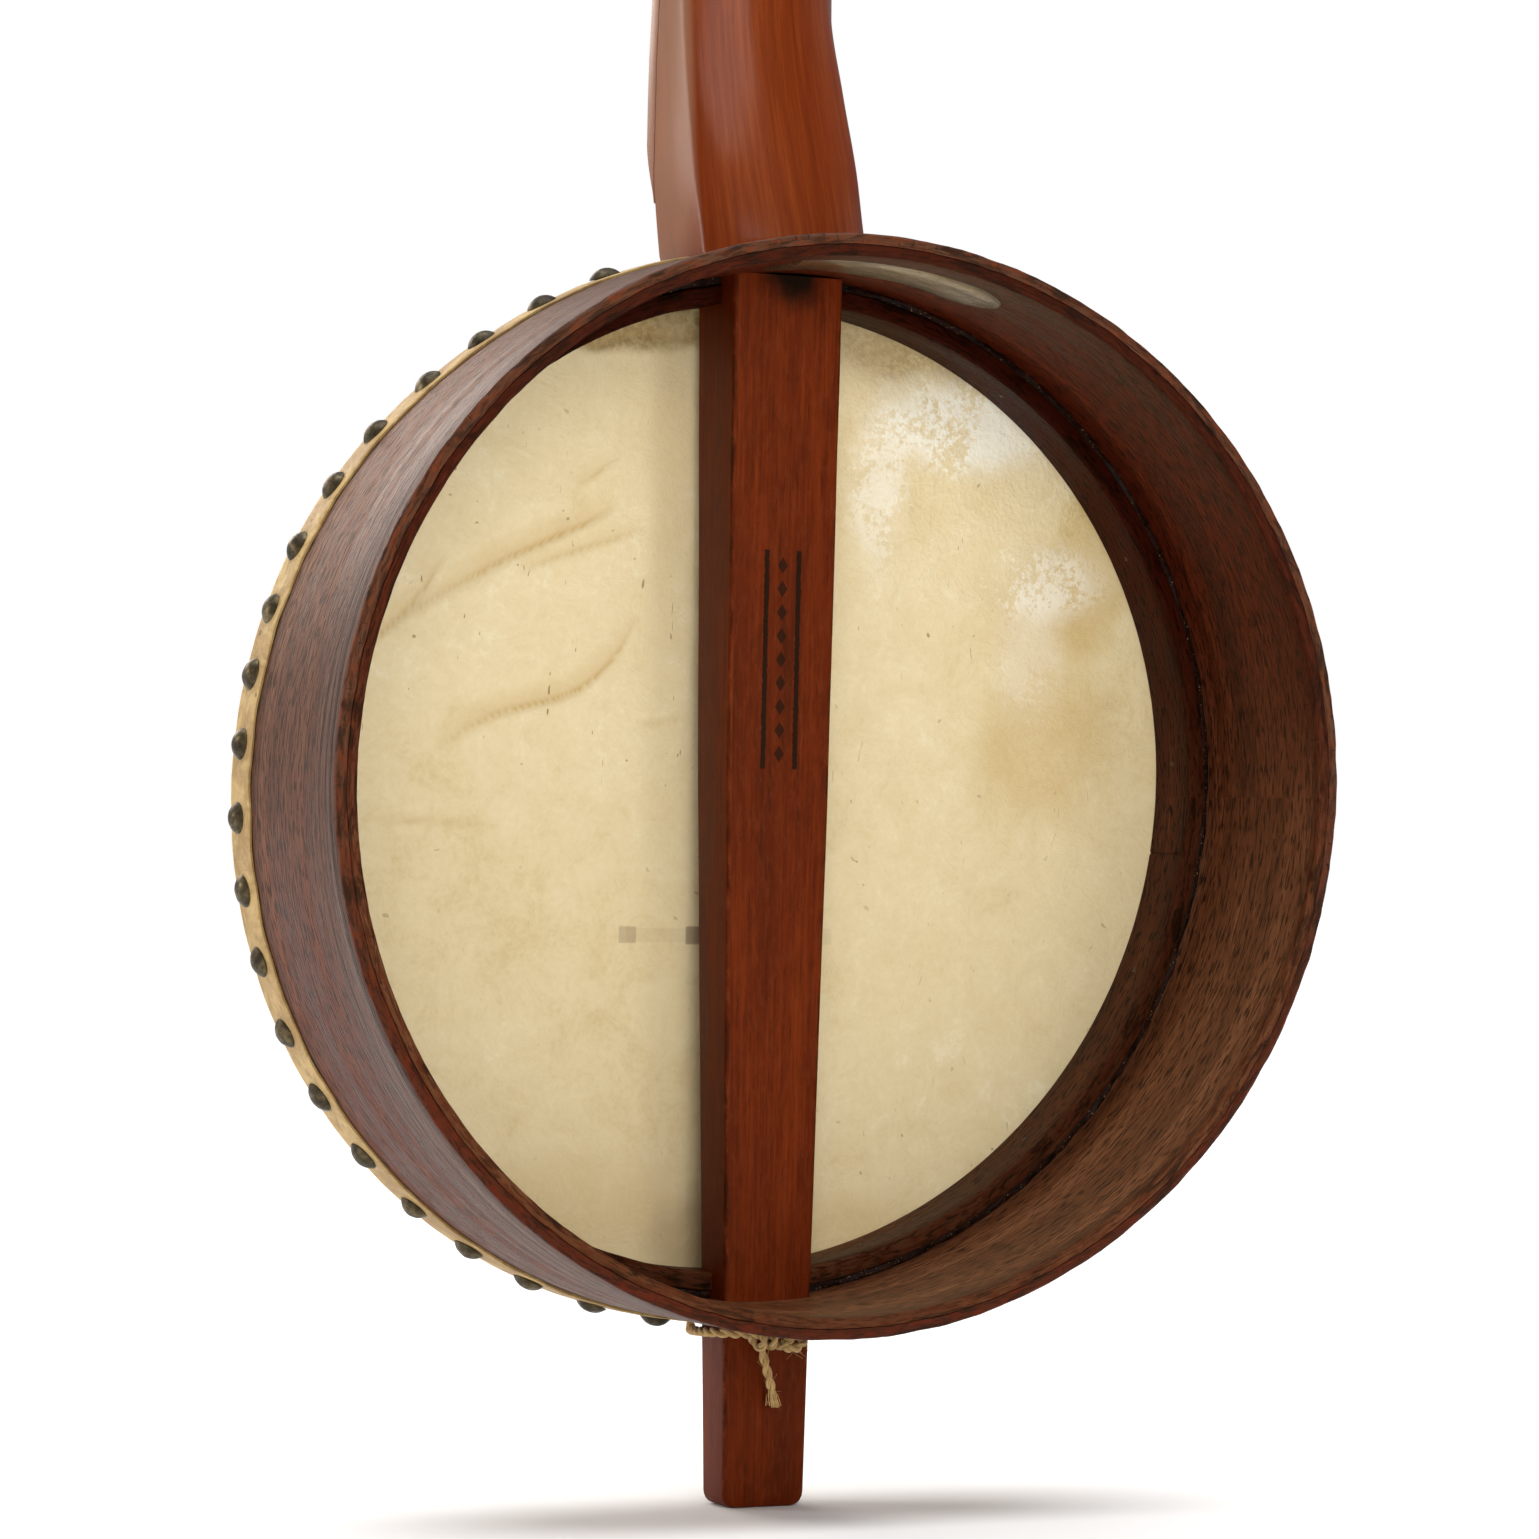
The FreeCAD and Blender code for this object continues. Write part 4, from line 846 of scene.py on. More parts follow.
def swell(y, angle):
    """How far the old hoop is out of round at a depth and an angle from +X toward +Z."""
    share = min(1.0, max(0.0, y / NECK_FRONT))
    first = BACK_OVAL[0] + (HEAD_OVAL[0] - BACK_OVAL[0]) * share
    second = BACK_OVAL[1] + (HEAD_OVAL[1] - BACK_OVAL[1]) * share
    out = first * math.cos(2 * angle) + second * math.sin(2 * angle)
    for middle, reach, at_back, at_head in BENDS:
        away = (math.degrees(angle) - middle + 180) % 360 - 180
        out += (at_back + (at_head - at_back) * share) * math.exp(-(away / reach) ** 2)
    return out


def on_hoop(radius, y, angle):
    far = radius + swell(y, angle)
    return Vector((far * math.cos(angle), y, far * math.sin(angle)))


def section(inner, outer, front, back, back_in, back_out):
    """A hoop's closed section as (radius, y, wear), with worn corners along its back edge."""
    fade, small = 3.0, 0.3
    points = []
    for radius, sign, size, y, wear in ((inner, 1, small, front, 0.2), (inner, 1, back_in, back, 0.9),
                                        (outer, -1, back_out, back, 1.0), (outer, -1, small, front, 0.2)):
        inward = 1 if y == front else -1
        side = (radius, y + inward * size)
        end = (radius + sign * size, y)
        first, last = (side, end) if (sign > 0) == (y == back) else (end, side)
        for step in range(5):
            t = step / 4
            r = first[0] * (1 - t) ** 2 + radius * 2 * t * (1 - t) + last[0] * t ** 2
            d = first[1] * (1 - t) ** 2 + y * 2 * t * (1 - t) + last[1] * t ** 2
            points.append((r, d, wear))
        if sign > 0 and y == front:
            points += [(inner, front + fade * 2, 0.0), (inner, (front + back) / 2, 0.0),
                       (inner, back - back_in - fade * 2, 0.0), (inner, back - back_in - fade, 0.3)]
        if sign < 0 and y == back:
            points += [(outer, back - back_out - fade, 0.3), (outer, back - back_out - fade * 2, 0.0),
                       (outer, (front + back) / 2, 0.0), (outer, front + fade * 2, 0.0)]
    return points


def band(profile, angles, uneven=0.0, notch=None):
    """A hoop lofted round the pot's axis. notch is the angle of a butt joint in it."""
    shape = Shape()
    rows, wear = [], []
    mean = sum(r for r, _, _ in profile) / len(profile)
    for angle in angles:
        row = []
        groove = 0.0
        if notch is not None:
            groove = 0.45 * math.exp(-((angle - notch) * mean / 0.3) ** 2)
        for radius, y, worn in profile:
            far = uneven * worn
            shake = ripple(radius, y, angle * 160, size=9) + 0.6 * ripple(radius, y + 40, angle * 160, size=3)
            lift = ripple(radius * 3, y, angle * 160 + 500, size=6)
            row.append(on_hoop(radius + far * shake * 0.8 + groove, y + far * lift, angle))
        rows.append(row)
        wear.append([worn for _, _, worn in profile])
    along = [angle * mean for angle in angles] + [angles[0] * mean + TAU * mean]
    shape.loft(rows, along, wear, wrap=True)
    return shape


def round_the_hoop(count=432, extra=None):
    angles = [step * TAU / count - math.pi for step in range(count)]
    if extra is not None:
        close = [extra + math.radians(step) for step in (-0.25, -0.12, -0.05, 0.04, 0.11, 0.24)]
        angles = sorted(angles + close)
    return angles


def pole_half(height):
    if height >= 0:
        return POLE_HALF + 1.2 * height / POLE_SHOULDER
    return POLE_HALF + 3.5 * height / POLE_LOW


def pole_deep(height):
    if height >= 0:
        return POLE_DEEP + 4.0 * height / POLE_SHOULDER
    return POLE_DEEP + 6.9 * height / POLE_LOW


def pole_shape(gap=0.0, uneven=0.0):
    """The pole: a tapering square with eased edges, a round-cornered tail, and its tenon on top."""
    tail = 4.0
    heights = [POLE_TAIL + tail * (1 - math.cos(step * math.pi / 10)) for step in range(6)]
    heights += [POLE_TAIL + tail + (POLE_SHOULDER - POLE_TAIL - tail) * step / 48 for step in range(1, 49)]
    rows, wear = [], []
    for height in heights + [POLE_SHOULDER + 0.01, POLE_TOP]:
        half, deep, back = pole_half(height) + gap, pole_deep(height) + gap, POLE_BACK + gap
        if height < POLE_TAIL + tail:
            drop = 1 - math.sqrt(max(0.0, 1 - ((POLE_TAIL + tail - height) / tail) ** 2))
            half -= 3.4 * drop
            back -= 0.7 * drop
            deep -= 1.2 * drop
        if height > POLE_SHOULDER:
            half, deep, back = 11 + gap, 14 + 2 * gap, -60 + gap
        front = back - deep - gap
        corners = [(half, back, 0), (half, front, 0), (-half, front, 0), (-half, back, 0)]
        outline = soften(corners, [POLE_EDGE] * 4, 4)
        wobble = uneven * ripple(height, 7, 3, size=45)
        rows.append([Vector((p.x + wobble, p.y + uneven * ripple(p.x, height, 31, size=30), height))
                     for p in outline])
        wear.append([0.7 if j % 5 in (1, 2, 3) else 0.25 for j in range(len(outline))])
    shape = Shape()
    shape.loft(rows, wear=wear)
    return shape


def pot(ply_out, ply_in, ring_wood, tongue_wood, glue, steel):
    """The two bent plies, the ring glued inside the head end, its glue line, brads and lap."""
    joint = math.radians(-173)
    outer = piece(band(section(*OUTER_PLY, RIM_FRONT, 0, 0.35, 1.3), round_the_hoop(), 0.32),
                  "hoop_outer_ply", ply_out, "rim_outer_ply")
    inner = piece(band(section(*INNER_PLY, RIM_FRONT, 0, 1.5, 0.35), round_the_hoop(), 0.26),
                  "hoop_inner_ply", ply_in, "rim_inner_ply")
    ring = piece(band(section(*RING, RIM_FRONT, RING_BACK, 1.1, 0.6), round_the_hoop(extra=joint), 0.22, joint),
                 "skin_ring", ring_wood, "head_ring")
    line = piece(band(section(*GLUE, RIM_FRONT, GLUE_BACK, 0.8, 0.8), round_the_hoop(600), 0.75),
                 "glue_line", glue, "ring_glue_line")
    for made, gap in ((outer, 0.15), (inner, 0.15), (ring, 0.25), (line, 0.25)):
        carve(made, pole_shape(gap))

    tongue = Shape()
    start, end, low, high = math.radians(84), math.radians(111), -40.0, -12.0
    rows, across = [], 16
    for step in range(46):
        share = step / 45
        angle = start + (end - start) * share
        rounded = math.sqrt(max(0.02, 1 - max(0.0, (share - 0.8) / 0.2) ** 2))
        wide = rounded * (0.96 + 0.04 * ripple(step, 3, 1, size=7))
        middle = (low + high) / 2 + 1.2 * ripple(step, 9, 2, size=14)
        row = []
        for j in range(across + 1):
            side = j / across * 2 - 1
            thick = 1.0 * (1 - abs(side) ** 5) * min(1.0, (1 - share) * 9 + 0.15)
            thick += 0.12 * ripple(angle * 150, side * 14, 5, size=4)
            row.append(on_hoop(153.35 - max(0.1, thick), middle + side * wide * (high - low) / 2, angle))
        for side in (1, -1):
            row.append(on_hoop(153.5, middle + side * wide * (high - low) / 2, angle))
        rows.append(row)
    tongue.loft(rows)
    piece(tongue, "lap_tongue", tongue_wood, "rim_lap_tongue", angle=50)

    brads = Shape()
    for step in range(14):
        angle = math.radians(20 + 26 * step)
        out = on_hoop(RING[0], -71.2, angle)
        inward = Vector((-math.cos(angle), 0, -math.sin(angle)))
        turn = inward.to_track_quat("Z", "Y")
        profile = [(0, 0.3), (0.5, 0.26), (0.82, 0.1), (0.9, -0.1), (0.55, -0.4), (0.5, -9), (0, -10)]
        brads.turned(profile, 14, lambda p: out + turn @ p)
    piece(brads, "ring_brad_heads", steel, "ring_brads")


# Folds in the skin: points (x, z) along each one's sharp lower edge, how deep it is and how wide
FOLDS = [([(99, 8), (84, 17), (73, 21), (58, 25), (49, 30), (40, 39), (34, 50)], 0.5, 4.2),
         ([(116, 43), (83, 62), (62, 72), (51, 77), (41, 83)], 0.5, 4.5),
         ([(74, 62), (50, 70), (32, 76)], 0.3, 3.0),
         ([(126, 34), (108, 49), (96, 66)], 0.35, 4.0),
         ([(55, 87), (40, 98)], 0.25, 3.5),
         ([(121, -13), (100, -13), (77, -14)], 0.22, 1.6),
         ([(33, 17), (16, 20)], 0.15, 1.5),
         ([(60, 131), (50, 129.5), (38, 134), (24, 133.5), (14, 135)], 0.4, 2.0)]


def folds(x, z):
    """How deep the folds are at many points of the skin, and how much each point is tinted, part stain and part
    painted shade.
    """
    deep = np.zeros_like(x)
    stain = np.zeros_like(x)
    for points, depth, wide in FOLDS:
        line = curve_through([(a, b, 0) for a, b in points], 6)
        nearest = np.full_like(x, 1e9)
        above = np.zeros_like(x)
        share = np.zeros_like(x)
        for i, (a, b) in enumerate(zip(line, line[1:])):
            along = b - a
            t = np.clip(((x - a.x) * along.x + (z - a.y) * along.y) / along.length_squared, 0, 1)
            dx, dz = x - a.x - t * along.x, z - a.y - t * along.y
            far = np.hypot(dx, dz)
            closer = far < nearest
            nearest = np.where(closer, far, nearest)
            above = np.where(closer, np.sign(dz), above)
            share = np.where(closer, (i + t) / (len(line) - 1), share)
        ends = np.sin(np.clip(share, 0.0, 1.0) * math.pi) ** 0.5
        upper = np.clip(1 - nearest / (wide * 1.7), 0, 1) ** 0.8 * (above > 0)
        lower = np.exp(-(nearest / 0.8) ** 2) * (above <= 0)
        edge = np.exp(-(nearest / 1.0) ** 2)
        deep += depth * ends * (upper + lower)
        # Tint along each fold: part stain, part painted shade.
        stain = np.maximum(stain, ends * min(1.0, depth * 2.2) * (upper * 0.6 + edge * 0.5))
    return deep, stain


def calf_head(paint):
    """The skin: one sheet across the head end, folded over its edge and lapped down outside."""
    count = TACK_PLACES * 8
    angles = [TACK_START + step * TACK_STEP / 8 for step in range(count)]
    radii = [2.0, 5, 9, 14, 20] + [20 + 0.9 * step for step in range(1, 148)]
    radii += [154.8, 157.0]
    flat = np.array([[on_hoop(r, HEAD_FACE, a)[:] for a in angles] for r in radii])
    deep, stain = folds(flat[:, :, 0], flat[:, :, 2])
    rows, wear = [], []

    def face_rows(y, order):
        for i in order:
            row = []
            for j in range(count):
                x, _, z = flat[i, j]
                wave = 0.14 * ripple(x, z, 2, size=38) + 0.05 * ripple(x, z, 8, size=9)
                settled = min(1.0, (157.5 - radii[i]) / 12)
                row.append(Vector((x, y - (deep[i, j] * 1.5 + wave) * settled, z)))
            rows.append(row)
            # The fold tint, part painted shade, goes in the wear attribute.
            wear.append(list(stain[i]))

    def edge_row(radius, y, pull=0.0):
        row = []
        for j, angle in enumerate(angles):
            near = abs((j % 8) - 4) / 4
            scallop = pull * (1.1 * (near - 0.5) + 0.9 * ripple(angle * 160, 3, 1, size=11))
            bulge = 0.16 * (1 - near) if radius > RIM_RADIUS + 0.5 else 0.0
            bulge += 0.06 * ripple(angle * 160, y, 4, size=5)
            row.append(on_hoop(radius + bulge, y + scallop, angle))
        rows.append(row)
        wear.append([0.0] * count)

    inner, outer = RIM_RADIUS + 0.05, RIM_RADIUS + SKIN_THICK + 0.05
    face_rows(RIM_FRONT - 0.05, range(len(radii)))
    edge_row(RIM_RADIUS - 0.4, RIM_FRONT - 0.05)
    edge_row(inner, RIM_FRONT + 0.5)
    edge_row(inner, -74, 0.3)
    edge_row(inner, LAP_END, 0.9)
    edge_row(outer - 0.25, LAP_END + 0.15, 0.9)
    edge_row(outer, LAP_END - 0.3, 0.9)
    for y in (-69.5, -72, -75, -78, -80):
        edge_row(outer, y, 0.5 if y > -72.5 else 0.0)
    edge_row(outer - 0.12, -81.0)
    edge_row(outer - 0.5, -81.75)
    edge_row(RIM_RADIUS - 0.4, HEAD_FACE)
    face_rows(HEAD_FACE, reversed(range(len(radii))))
    shape = Shape()
    starts = shape.loft(rows, wear=wear, caps=False)
    for start, y, flip in ((starts[0], RIM_FRONT - 0.05, True), (starts[-1], HEAD_FACE, False)):
        shape.fan(list(range(start, start + count)), (0, y, 0), flip, lambda p: (p.z, p.x))
    head = piece(shape, "calf_head", paint, "skin_head", angle=60)


def tack_heads(paint):
    """Forty-three domed tacks through the lap, no two quite alike."""
    dice = random.Random(43)
    shape = Shape()
    for step in range(TACK_PLACES):
        angle = TACK_START + step * TACK_STEP
        from_top = abs(math.degrees(angle) - 90)
        from_tail = abs((math.degrees(angle) + 90 + 180) % 360 - 180)
        if from_top < 11.5 or from_tail < 4:
            continue
        angle -= math.radians(2.6) * math.exp(-((math.degrees(angle) - 40) / 33) ** 2)
        size = dice.uniform(0.96, 1.04)
        tall = dice.uniform(0.92, 1.06)
        y = TACK_LINE + dice.uniform(-0.5, 0.5)
        seat = on_hoop(RIM_RADIUS + 0.95, y, angle + dice.uniform(-0.002, 0.002))
        outward = Vector((math.cos(angle), 0, math.sin(angle)))
        outward += Vector([dice.uniform(-0.05, 0.05) for _ in range(3)])
        turn = outward.to_track_quat("Z", "Y")
        profile = [(0, 2.6), (0.9, 2.54), (1.9, 2.3), (2.9, 1.86), (3.7, 1.3), (4.3, 0.72), (4.68, 0.26),
                   (4.76, 0.08), (4.66, -0.06), (3.9, 0.1), (1.0, 0.2), (0.85, -3), (0.5, -6.3), (0, -7.2)]
        seed = step * 17.0

        def put(point, seat=seat, turn=turn, size=size, tall=tall, seed=seed):
            dent = 0.09 * ripple(point.x + seed, point.y, point.z, size=2.2) if point.z > 0.1 else 0.0
            return seat + turn @ Vector((point.x * size, point.y * size, point.z * tall - dent))
        shape.turned(profile, 28, put)
    piece(shape, "tack_heads", paint, "head_tacks")


# ---------------------------------------------------------------- neck

def blend_rows(table, at):
    """Values between a table's rows, whose first column is the height, along smooth curves."""
    heights = [row[0] for row in table]
    for i in range(len(table) - 1):
        if at <= heights[i + 1] or i == len(table) - 2:
            break
    before, low = table[max(i - 1, 0)], table[i]
    high, after = table[i + 1], table[min(i + 2, len(table) - 1)]
    long = high[0] - low[0]
    t = min(1.0, max(0.0, (at - low[0]) / long))
    values = []
    for k in range(1, len(low)):
        slope_low = (high[k] - before[k]) / max(1e-6, high[0] - before[0]) * long
        slope_high = (after[k] - low[k]) / max(1e-6, after[0] - low[0]) * long
        values.append(low[k] * (2 * t ** 3 - 3 * t ** 2 + 1) + slope_low * (t ** 3 - 2 * t ** 2 + t)
                      + high[k] * (3 * t ** 2 - 2 * t ** 3) + slope_high * (t ** 3 - t ** 2))
    return values


def treble_half(height):
    share = (height - TAPER_START) / (NUT_HEIGHT - TAPER_START)
    drawn_in = 2.2 * (max(0.0, 181 - height) / 22) ** 1.3
    return HEEL_HALF + (NUT_HALF - HEEL_HALF) * min(1.0, max(0.0, share)) - drawn_in


def bass_half(height):
    """The fifth string's side: wide up to the fifth peg's shoulder, then drawn in to the nut's line."""
    flare = math.exp(-max(0.0, height - FLARE_START) / 60)
    low = SHOULDER_HALF + (BASS_HEEL_HALF - SHOULDER_HALF) * flare
    if height <= SHOULDER_HEIGHT:
        return low
    relief = [(SHOULDER_HEIGHT, SHOULDER_HALF), (457.5, 22.4), (464.0, 20.5), (NUT_HEIGHT, NUT_HALF),
              (640.0, NUT_HALF)]
    for (z0, x0), (z1, x1) in zip(relief, relief[1:]):
        if height <= z1:
            return x0 + (x1 - x0) * (height - z0) / (z1 - z0)
    return NUT_HALF


# height, then the depth and draft of the treble side's ridge and of the bass side's, and the crown's depth
NECK_ROWS = [(152.0, 25.0, 3.4, 25.5, 0.5, 38.0), (166.0, 22.5, 4.6, 22.0, 0.6, 34.5),
             (186.0, 18.5, 5.2, 19.5, 1.2, 29.0), (210.0, 15.5, 4.0, 13.0, 2.2, 23.5),
             (240.0, 12.0, 2.8, 6.5, 3.8, 20.0), (320.0, 8.5, 3.0, 7.0, 3.2, 18.0),
             (455.0, 7.5, 2.4, 7.5, 2.4, 16.5), (600.0, 7.0, 2.0, 7.0, 2.0, 14.5),
             (632.0, 7.0, 2.0, 7.0, 2.0, 14.0)]


def neck_outline(treble, bass, treble_ridge, treble_draft, bass_ridge, bass_draft, crown, ease=2.0):
    """A section as (x, depth behind the front): flat front, drafted sides, arched back."""
    right = Vector((treble - treble_draft, treble_ridge, 0))
    left = Vector((-bass + bass_draft, bass_ridge, 0))
    rise = max(0.02, crown - (treble_ridge + bass_ridge) / 2)
    arc = []
    for step in range(1, 22):
        share = step / 22
        arc.append(right.lerp(left, share) + Vector((0, rise * (1 - (2 * share - 1) ** 2), 0)))
    corners = [Vector((-bass, 0, 0)), Vector((treble, 0, 0)), right] + arc + [left]
    return soften(corners, [0.7, 0.7, ease] + [0] * len(arc) + [ease], 4)


def head_half(up):
    """Half the peghead's width at a height above the nut: a waist, a swell and a round crest."""
    def ease(t):
        return t * t * (3 - 2 * t)
    if up <= 6:
        return NUT_HALF
    if up <= 22:
        return NUT_HALF + 2.0 * ease((up - 6) / 16)
    if up <= 48:
        return 20.5 + 8.0 * ease((up - 22) / 26)
    if up <= 122:
        return 28.5 + 1.5 * (up - 48) / 74
    return math.sqrt(max(0.0, 30.0 ** 2 - (up - 122) ** 2))


def on_peghead(x, up, depth):
    """A point of the peghead's own frame, tilted back from the nut."""
    turned = Matrix.Rotation(HEAD_TILT, 3, "X") @ Vector((x, depth, up))
    return turned + Vector((0, NECK_FRONT, NUT_HEIGHT))


def carved_neck(paint):
    """Heel to crest in one piece. The heel fits the hoop, and is hollowed for the skin's lap."""
    rows, wear = [], []
    heights = [154.0 + 2.0 * step for step in range(44)] + [242 + 9.0 * step for step in range(24)]
    heights += [455.0, 456.2, 457.5, 459.5, 462, 464, 468] + [474 + 10.0 * step for step in range(15)] + [619]
    for height in heights:
        section_sizes = blend_rows(NECK_ROWS, height)
        ease = 1.6 + 1.6 * min(1.0, max(0.0, (height - 160) / 90))
        outline = neck_outline(treble_half(height), bass_half(height), *section_sizes, ease)
        row = []
        for p in outline:
            y = NECK_FRONT + p.y
            z = height
            lap = SKIN_THICK + 0.25 if y < LAP_END + 0.6 else 0.1
            angle = math.atan2(156, p.x)
            seat = math.sqrt((RIM_RADIUS + lap + swell(y, angle)) ** 2 - p.x ** 2)
            reach = max(0.0, 1 - (height - 154) / 40)
            z = max(height, seat) if height == 154.0 else max(height, seat + (height - 154) * 0.25 * reach)
            uneven = 0.12 * ripple(p.x, z, 9, size=22) if p.y > 2 else 0
            row.append(Vector((p.x + 0.12 * ripple(z, y, 4, size=26), y + uneven, z)))
        rows.append(row)
    crest = [122 + 30 * math.sin(step * math.pi / 26) for step in range(1, 13)]
    for up in [2, 4, 6] + list(range(9, 123, 3)) + crest:
        share = min(1.0, up / 26)
        share = share * share * (3 - 2 * share)
        ridge = 7 + (HEAD_THICK - 0.9 - 7) * share
        crown = 14.0 + (HEAD_THICK - 14.0) * share
        half = head_half(up)
        small = min(1.0, half / 8)
        draft = 2.0 - 1.75 * share * small
        outline = neck_outline(half, half, ridge, draft, ridge, draft, crown, (2.2 - 1.2 * share) * small)
        rows.append([on_peghead(p.x, up, p.y) for p in outline])
    shape = Shape()
    for row in rows:
        wear.append([0.6 if j < 10 else 0.0 for j in range(len(row))])
    shape.loft(rows, wear=wear)
    piece(shape, "carved_neck", paint, "neck", angle=42)


def fingerboard(paint):
    """The board: straight edges, eased corners, and an ogee down to the neck at the pot end."""
    scoop = [(0, 0.7), (1.8, 0.85), (3.8, 1.25), (5.8, 1.85), (7.8, 2.6), (9.8, 3.4), (11.8, 4.1), (13.8, 4.7),
             (15.8, 5.15), (17.6, 5.42)]
    heights = [(BOARD_END + up, tall) for up, tall in scoop]
    level = [192 + 8.5 * step for step in range(31)] + [455, 456.2, 457.5, 460, 464, 470]
    heights += [(z, BOARD_THICK) for z in level + [480 + 12.25 * step for step in range(13)]]
    rows = []
    for height, tall in heights:
        treble, bass = treble_half(height) + 0.05, bass_half(height) + 0.05
        back, front = NECK_FRONT - 0.02, NECK_FRONT - tall - 0.02
        corners = [(treble, back, 0), (treble, front, 0), (-bass, front, 0), (-bass, back, 0)]
        outline = soften(corners, [0.1, 0.7, 0.7, 0.1], 3)
        middle = []
        for i, p in enumerate(outline):
            middle.append(Vector((p.x, p.y, height)))
            if i == 7:
                for step in range(1, 10):
                    x = p.x + (outline[8].x - p.x) * step / 10
                    worn = 0.1 * max(0.0, ripple(x * 2, height, 60, size=40)) if tall > 5 else 0.0
                    middle.append(Vector((x, p.y + worn, height)))
        rows.append(middle)
    shape = Shape()
    shape.loft(rows)
    piece(shape, "fretless_board", paint, "fingerboard", angle=40)


def peghead_plate(paint):
    """The dark plate on the peghead's front, with the same outline."""
    ups = [6.6] + list(range(9, 123, 3)) + [122 + 30 * math.sin(step * math.pi / 28) for step in range(1, 14)]
    right = [(head_half(up) - 0.15, up) for up in ups]
    outline = right + [(0, 151.8)] + [(-x, up) for x, up in reversed(right)]
    shape = Shape()
    shape.slab(outline, -0.02, -2.0, on_peghead)
    piece(shape, "peghead_plate", paint, "peghead_overlay", edge=0.4)


def string_at(number, place):
    if place == "bridge":
        return (3 - number) * 11.5
    if place == "tail":
        return (3 - number) * 5.5
    return (2.5 - number) * 9.0


def bone_parts(paint):
    """The nut, rounded over toward the peghead and slotted, and the short string's pip."""
    rows = []
    xs = {-NUT_HALF + 0.1, -NUT_HALF + 0.5, NUT_HALF - 0.5, NUT_HALF - 0.1}
    for number in range(1, 5):
        around = (-0.9, -0.5, -0.42, -0.2, 0, 0.2, 0.42, 0.5, 0.9)
        xs.update(string_at(number, "nut") + step for step in around)
    xs.update(-18 + 2.0 * step for step in range(19))
    for x in sorted(xs):
        off = min(abs(x - string_at(number, "nut")) for number in range(1, 5))
        cut = 0.95 * min(1.0, max(0.0, (0.5 - off) / 0.1)) if off < 0.5 else 0.0
        edge = 0.35 if abs(x) > NUT_HALF - 0.2 else 0.0
        profile = [(0.0, NECK_FRONT - 0.05), (0.0, -89.3 + edge), (0.35, -89.85 + edge + cut),
                   (1.2, -90.0 + edge + cut), (2.4, -89.85 + edge + cut), (3.6, -89.2 + edge + cut),
                   (4.5, -88.0 + edge + cut * 0.6), (4.95, -86.6 + edge), (5.3, -84.4),
                   (4.9, NECK_FRONT - 0.05)]
        rows.append([Vector((x, y, NUT_HEIGHT + 0.05 + z)) for z, y in profile])
    nut = Shape()
    nut.loft(rows)
    piece(nut, "bone_nut", paint, "nut", angle=50)

    pip = Shape()
    profile = [(0, 3.0), (1.35, 3.0), (1.55, 2.6), (1.58, -2.6), (1.5, -2.95), (1.0, -3.15), (0, -3.2)]
    profile = [(radius, -height) for radius, height in profile]

    def put(point):
        slot = 0.75 if abs(point.x) < 0.55 and point.z > 2.5 else 0.0
        return Vector((PIP.x + point.x, -87.55 - point.z + slot, PIP.z + point.y))
    pip.turned(profile, 40, put)
    piece(pip, "bone_pip", paint, "fifth_string_nut", angle=50)


def thumb(shape, place, middle, squared):
    """A peg's round, dished thumb piece, with its foot squared off a little toward the shaft."""
    cross = [(0.16, 1.7), (0.4, 1.75), (0.62, 2.0), (0.8, 2.35), (0.91, 2.5), (0.97, 2.15), (1.0, 1.2),
             (1.0, 0.0)]
    cross += [(reach, -half) for reach, half in reversed(cross[:-1])]
    rows = []
    for reach, half in cross:
        row = []
        for step in range(56):
            angle = step * TAU / 56
            far = 12.0 - squared * max(0.0, -math.sin(angle)) ** 4
            x, up = far * reach * math.cos(angle), middle + far * reach * math.sin(angle)
            row.append(place(Vector((x, half, up))))
        rows.append(row)
    shape.loft(rows)


def carved_peg(place):
    """A friction peg in its own frame, thumb up: post, taper, collar, waist and dished thumb."""
    shape = Shape()
    shaft = [(0, -28.0), (2.9, -28.0), (3.35, -27.5), (3.4, -15), (4.0, 0), (4.0, 0.4), (5.9, 0.5), (6.35, 0.95),
             (6.4, 1.6), (6.0, 2.0), (6.25, 2.3), (6.1, 2.75), (5.1, 3.1), (4.2, 4.6), (3.5, 6.6), (3.2, 8.4),
             (3.4, 10.2), (2.2, 12.0), (0, 12.4)]
    shape.turned(shaft, 32, place)
    thumb(shape, place, 18.3, 0.5)
    return shape


def windings(place, low, high, turns):
    """The turns of string on a peg's post."""
    line = []
    for step in range(int(turns * 22) + 1):
        angle = TAU * step / 22
        line.append(place(Vector((3.8 * math.cos(angle), 3.8 * math.sin(angle),
                                  low + (high - low) * step / (turns * 22)))))
    shape = Shape()
    shape.tube(line, STRING_RADIUS, 8)
    return shape


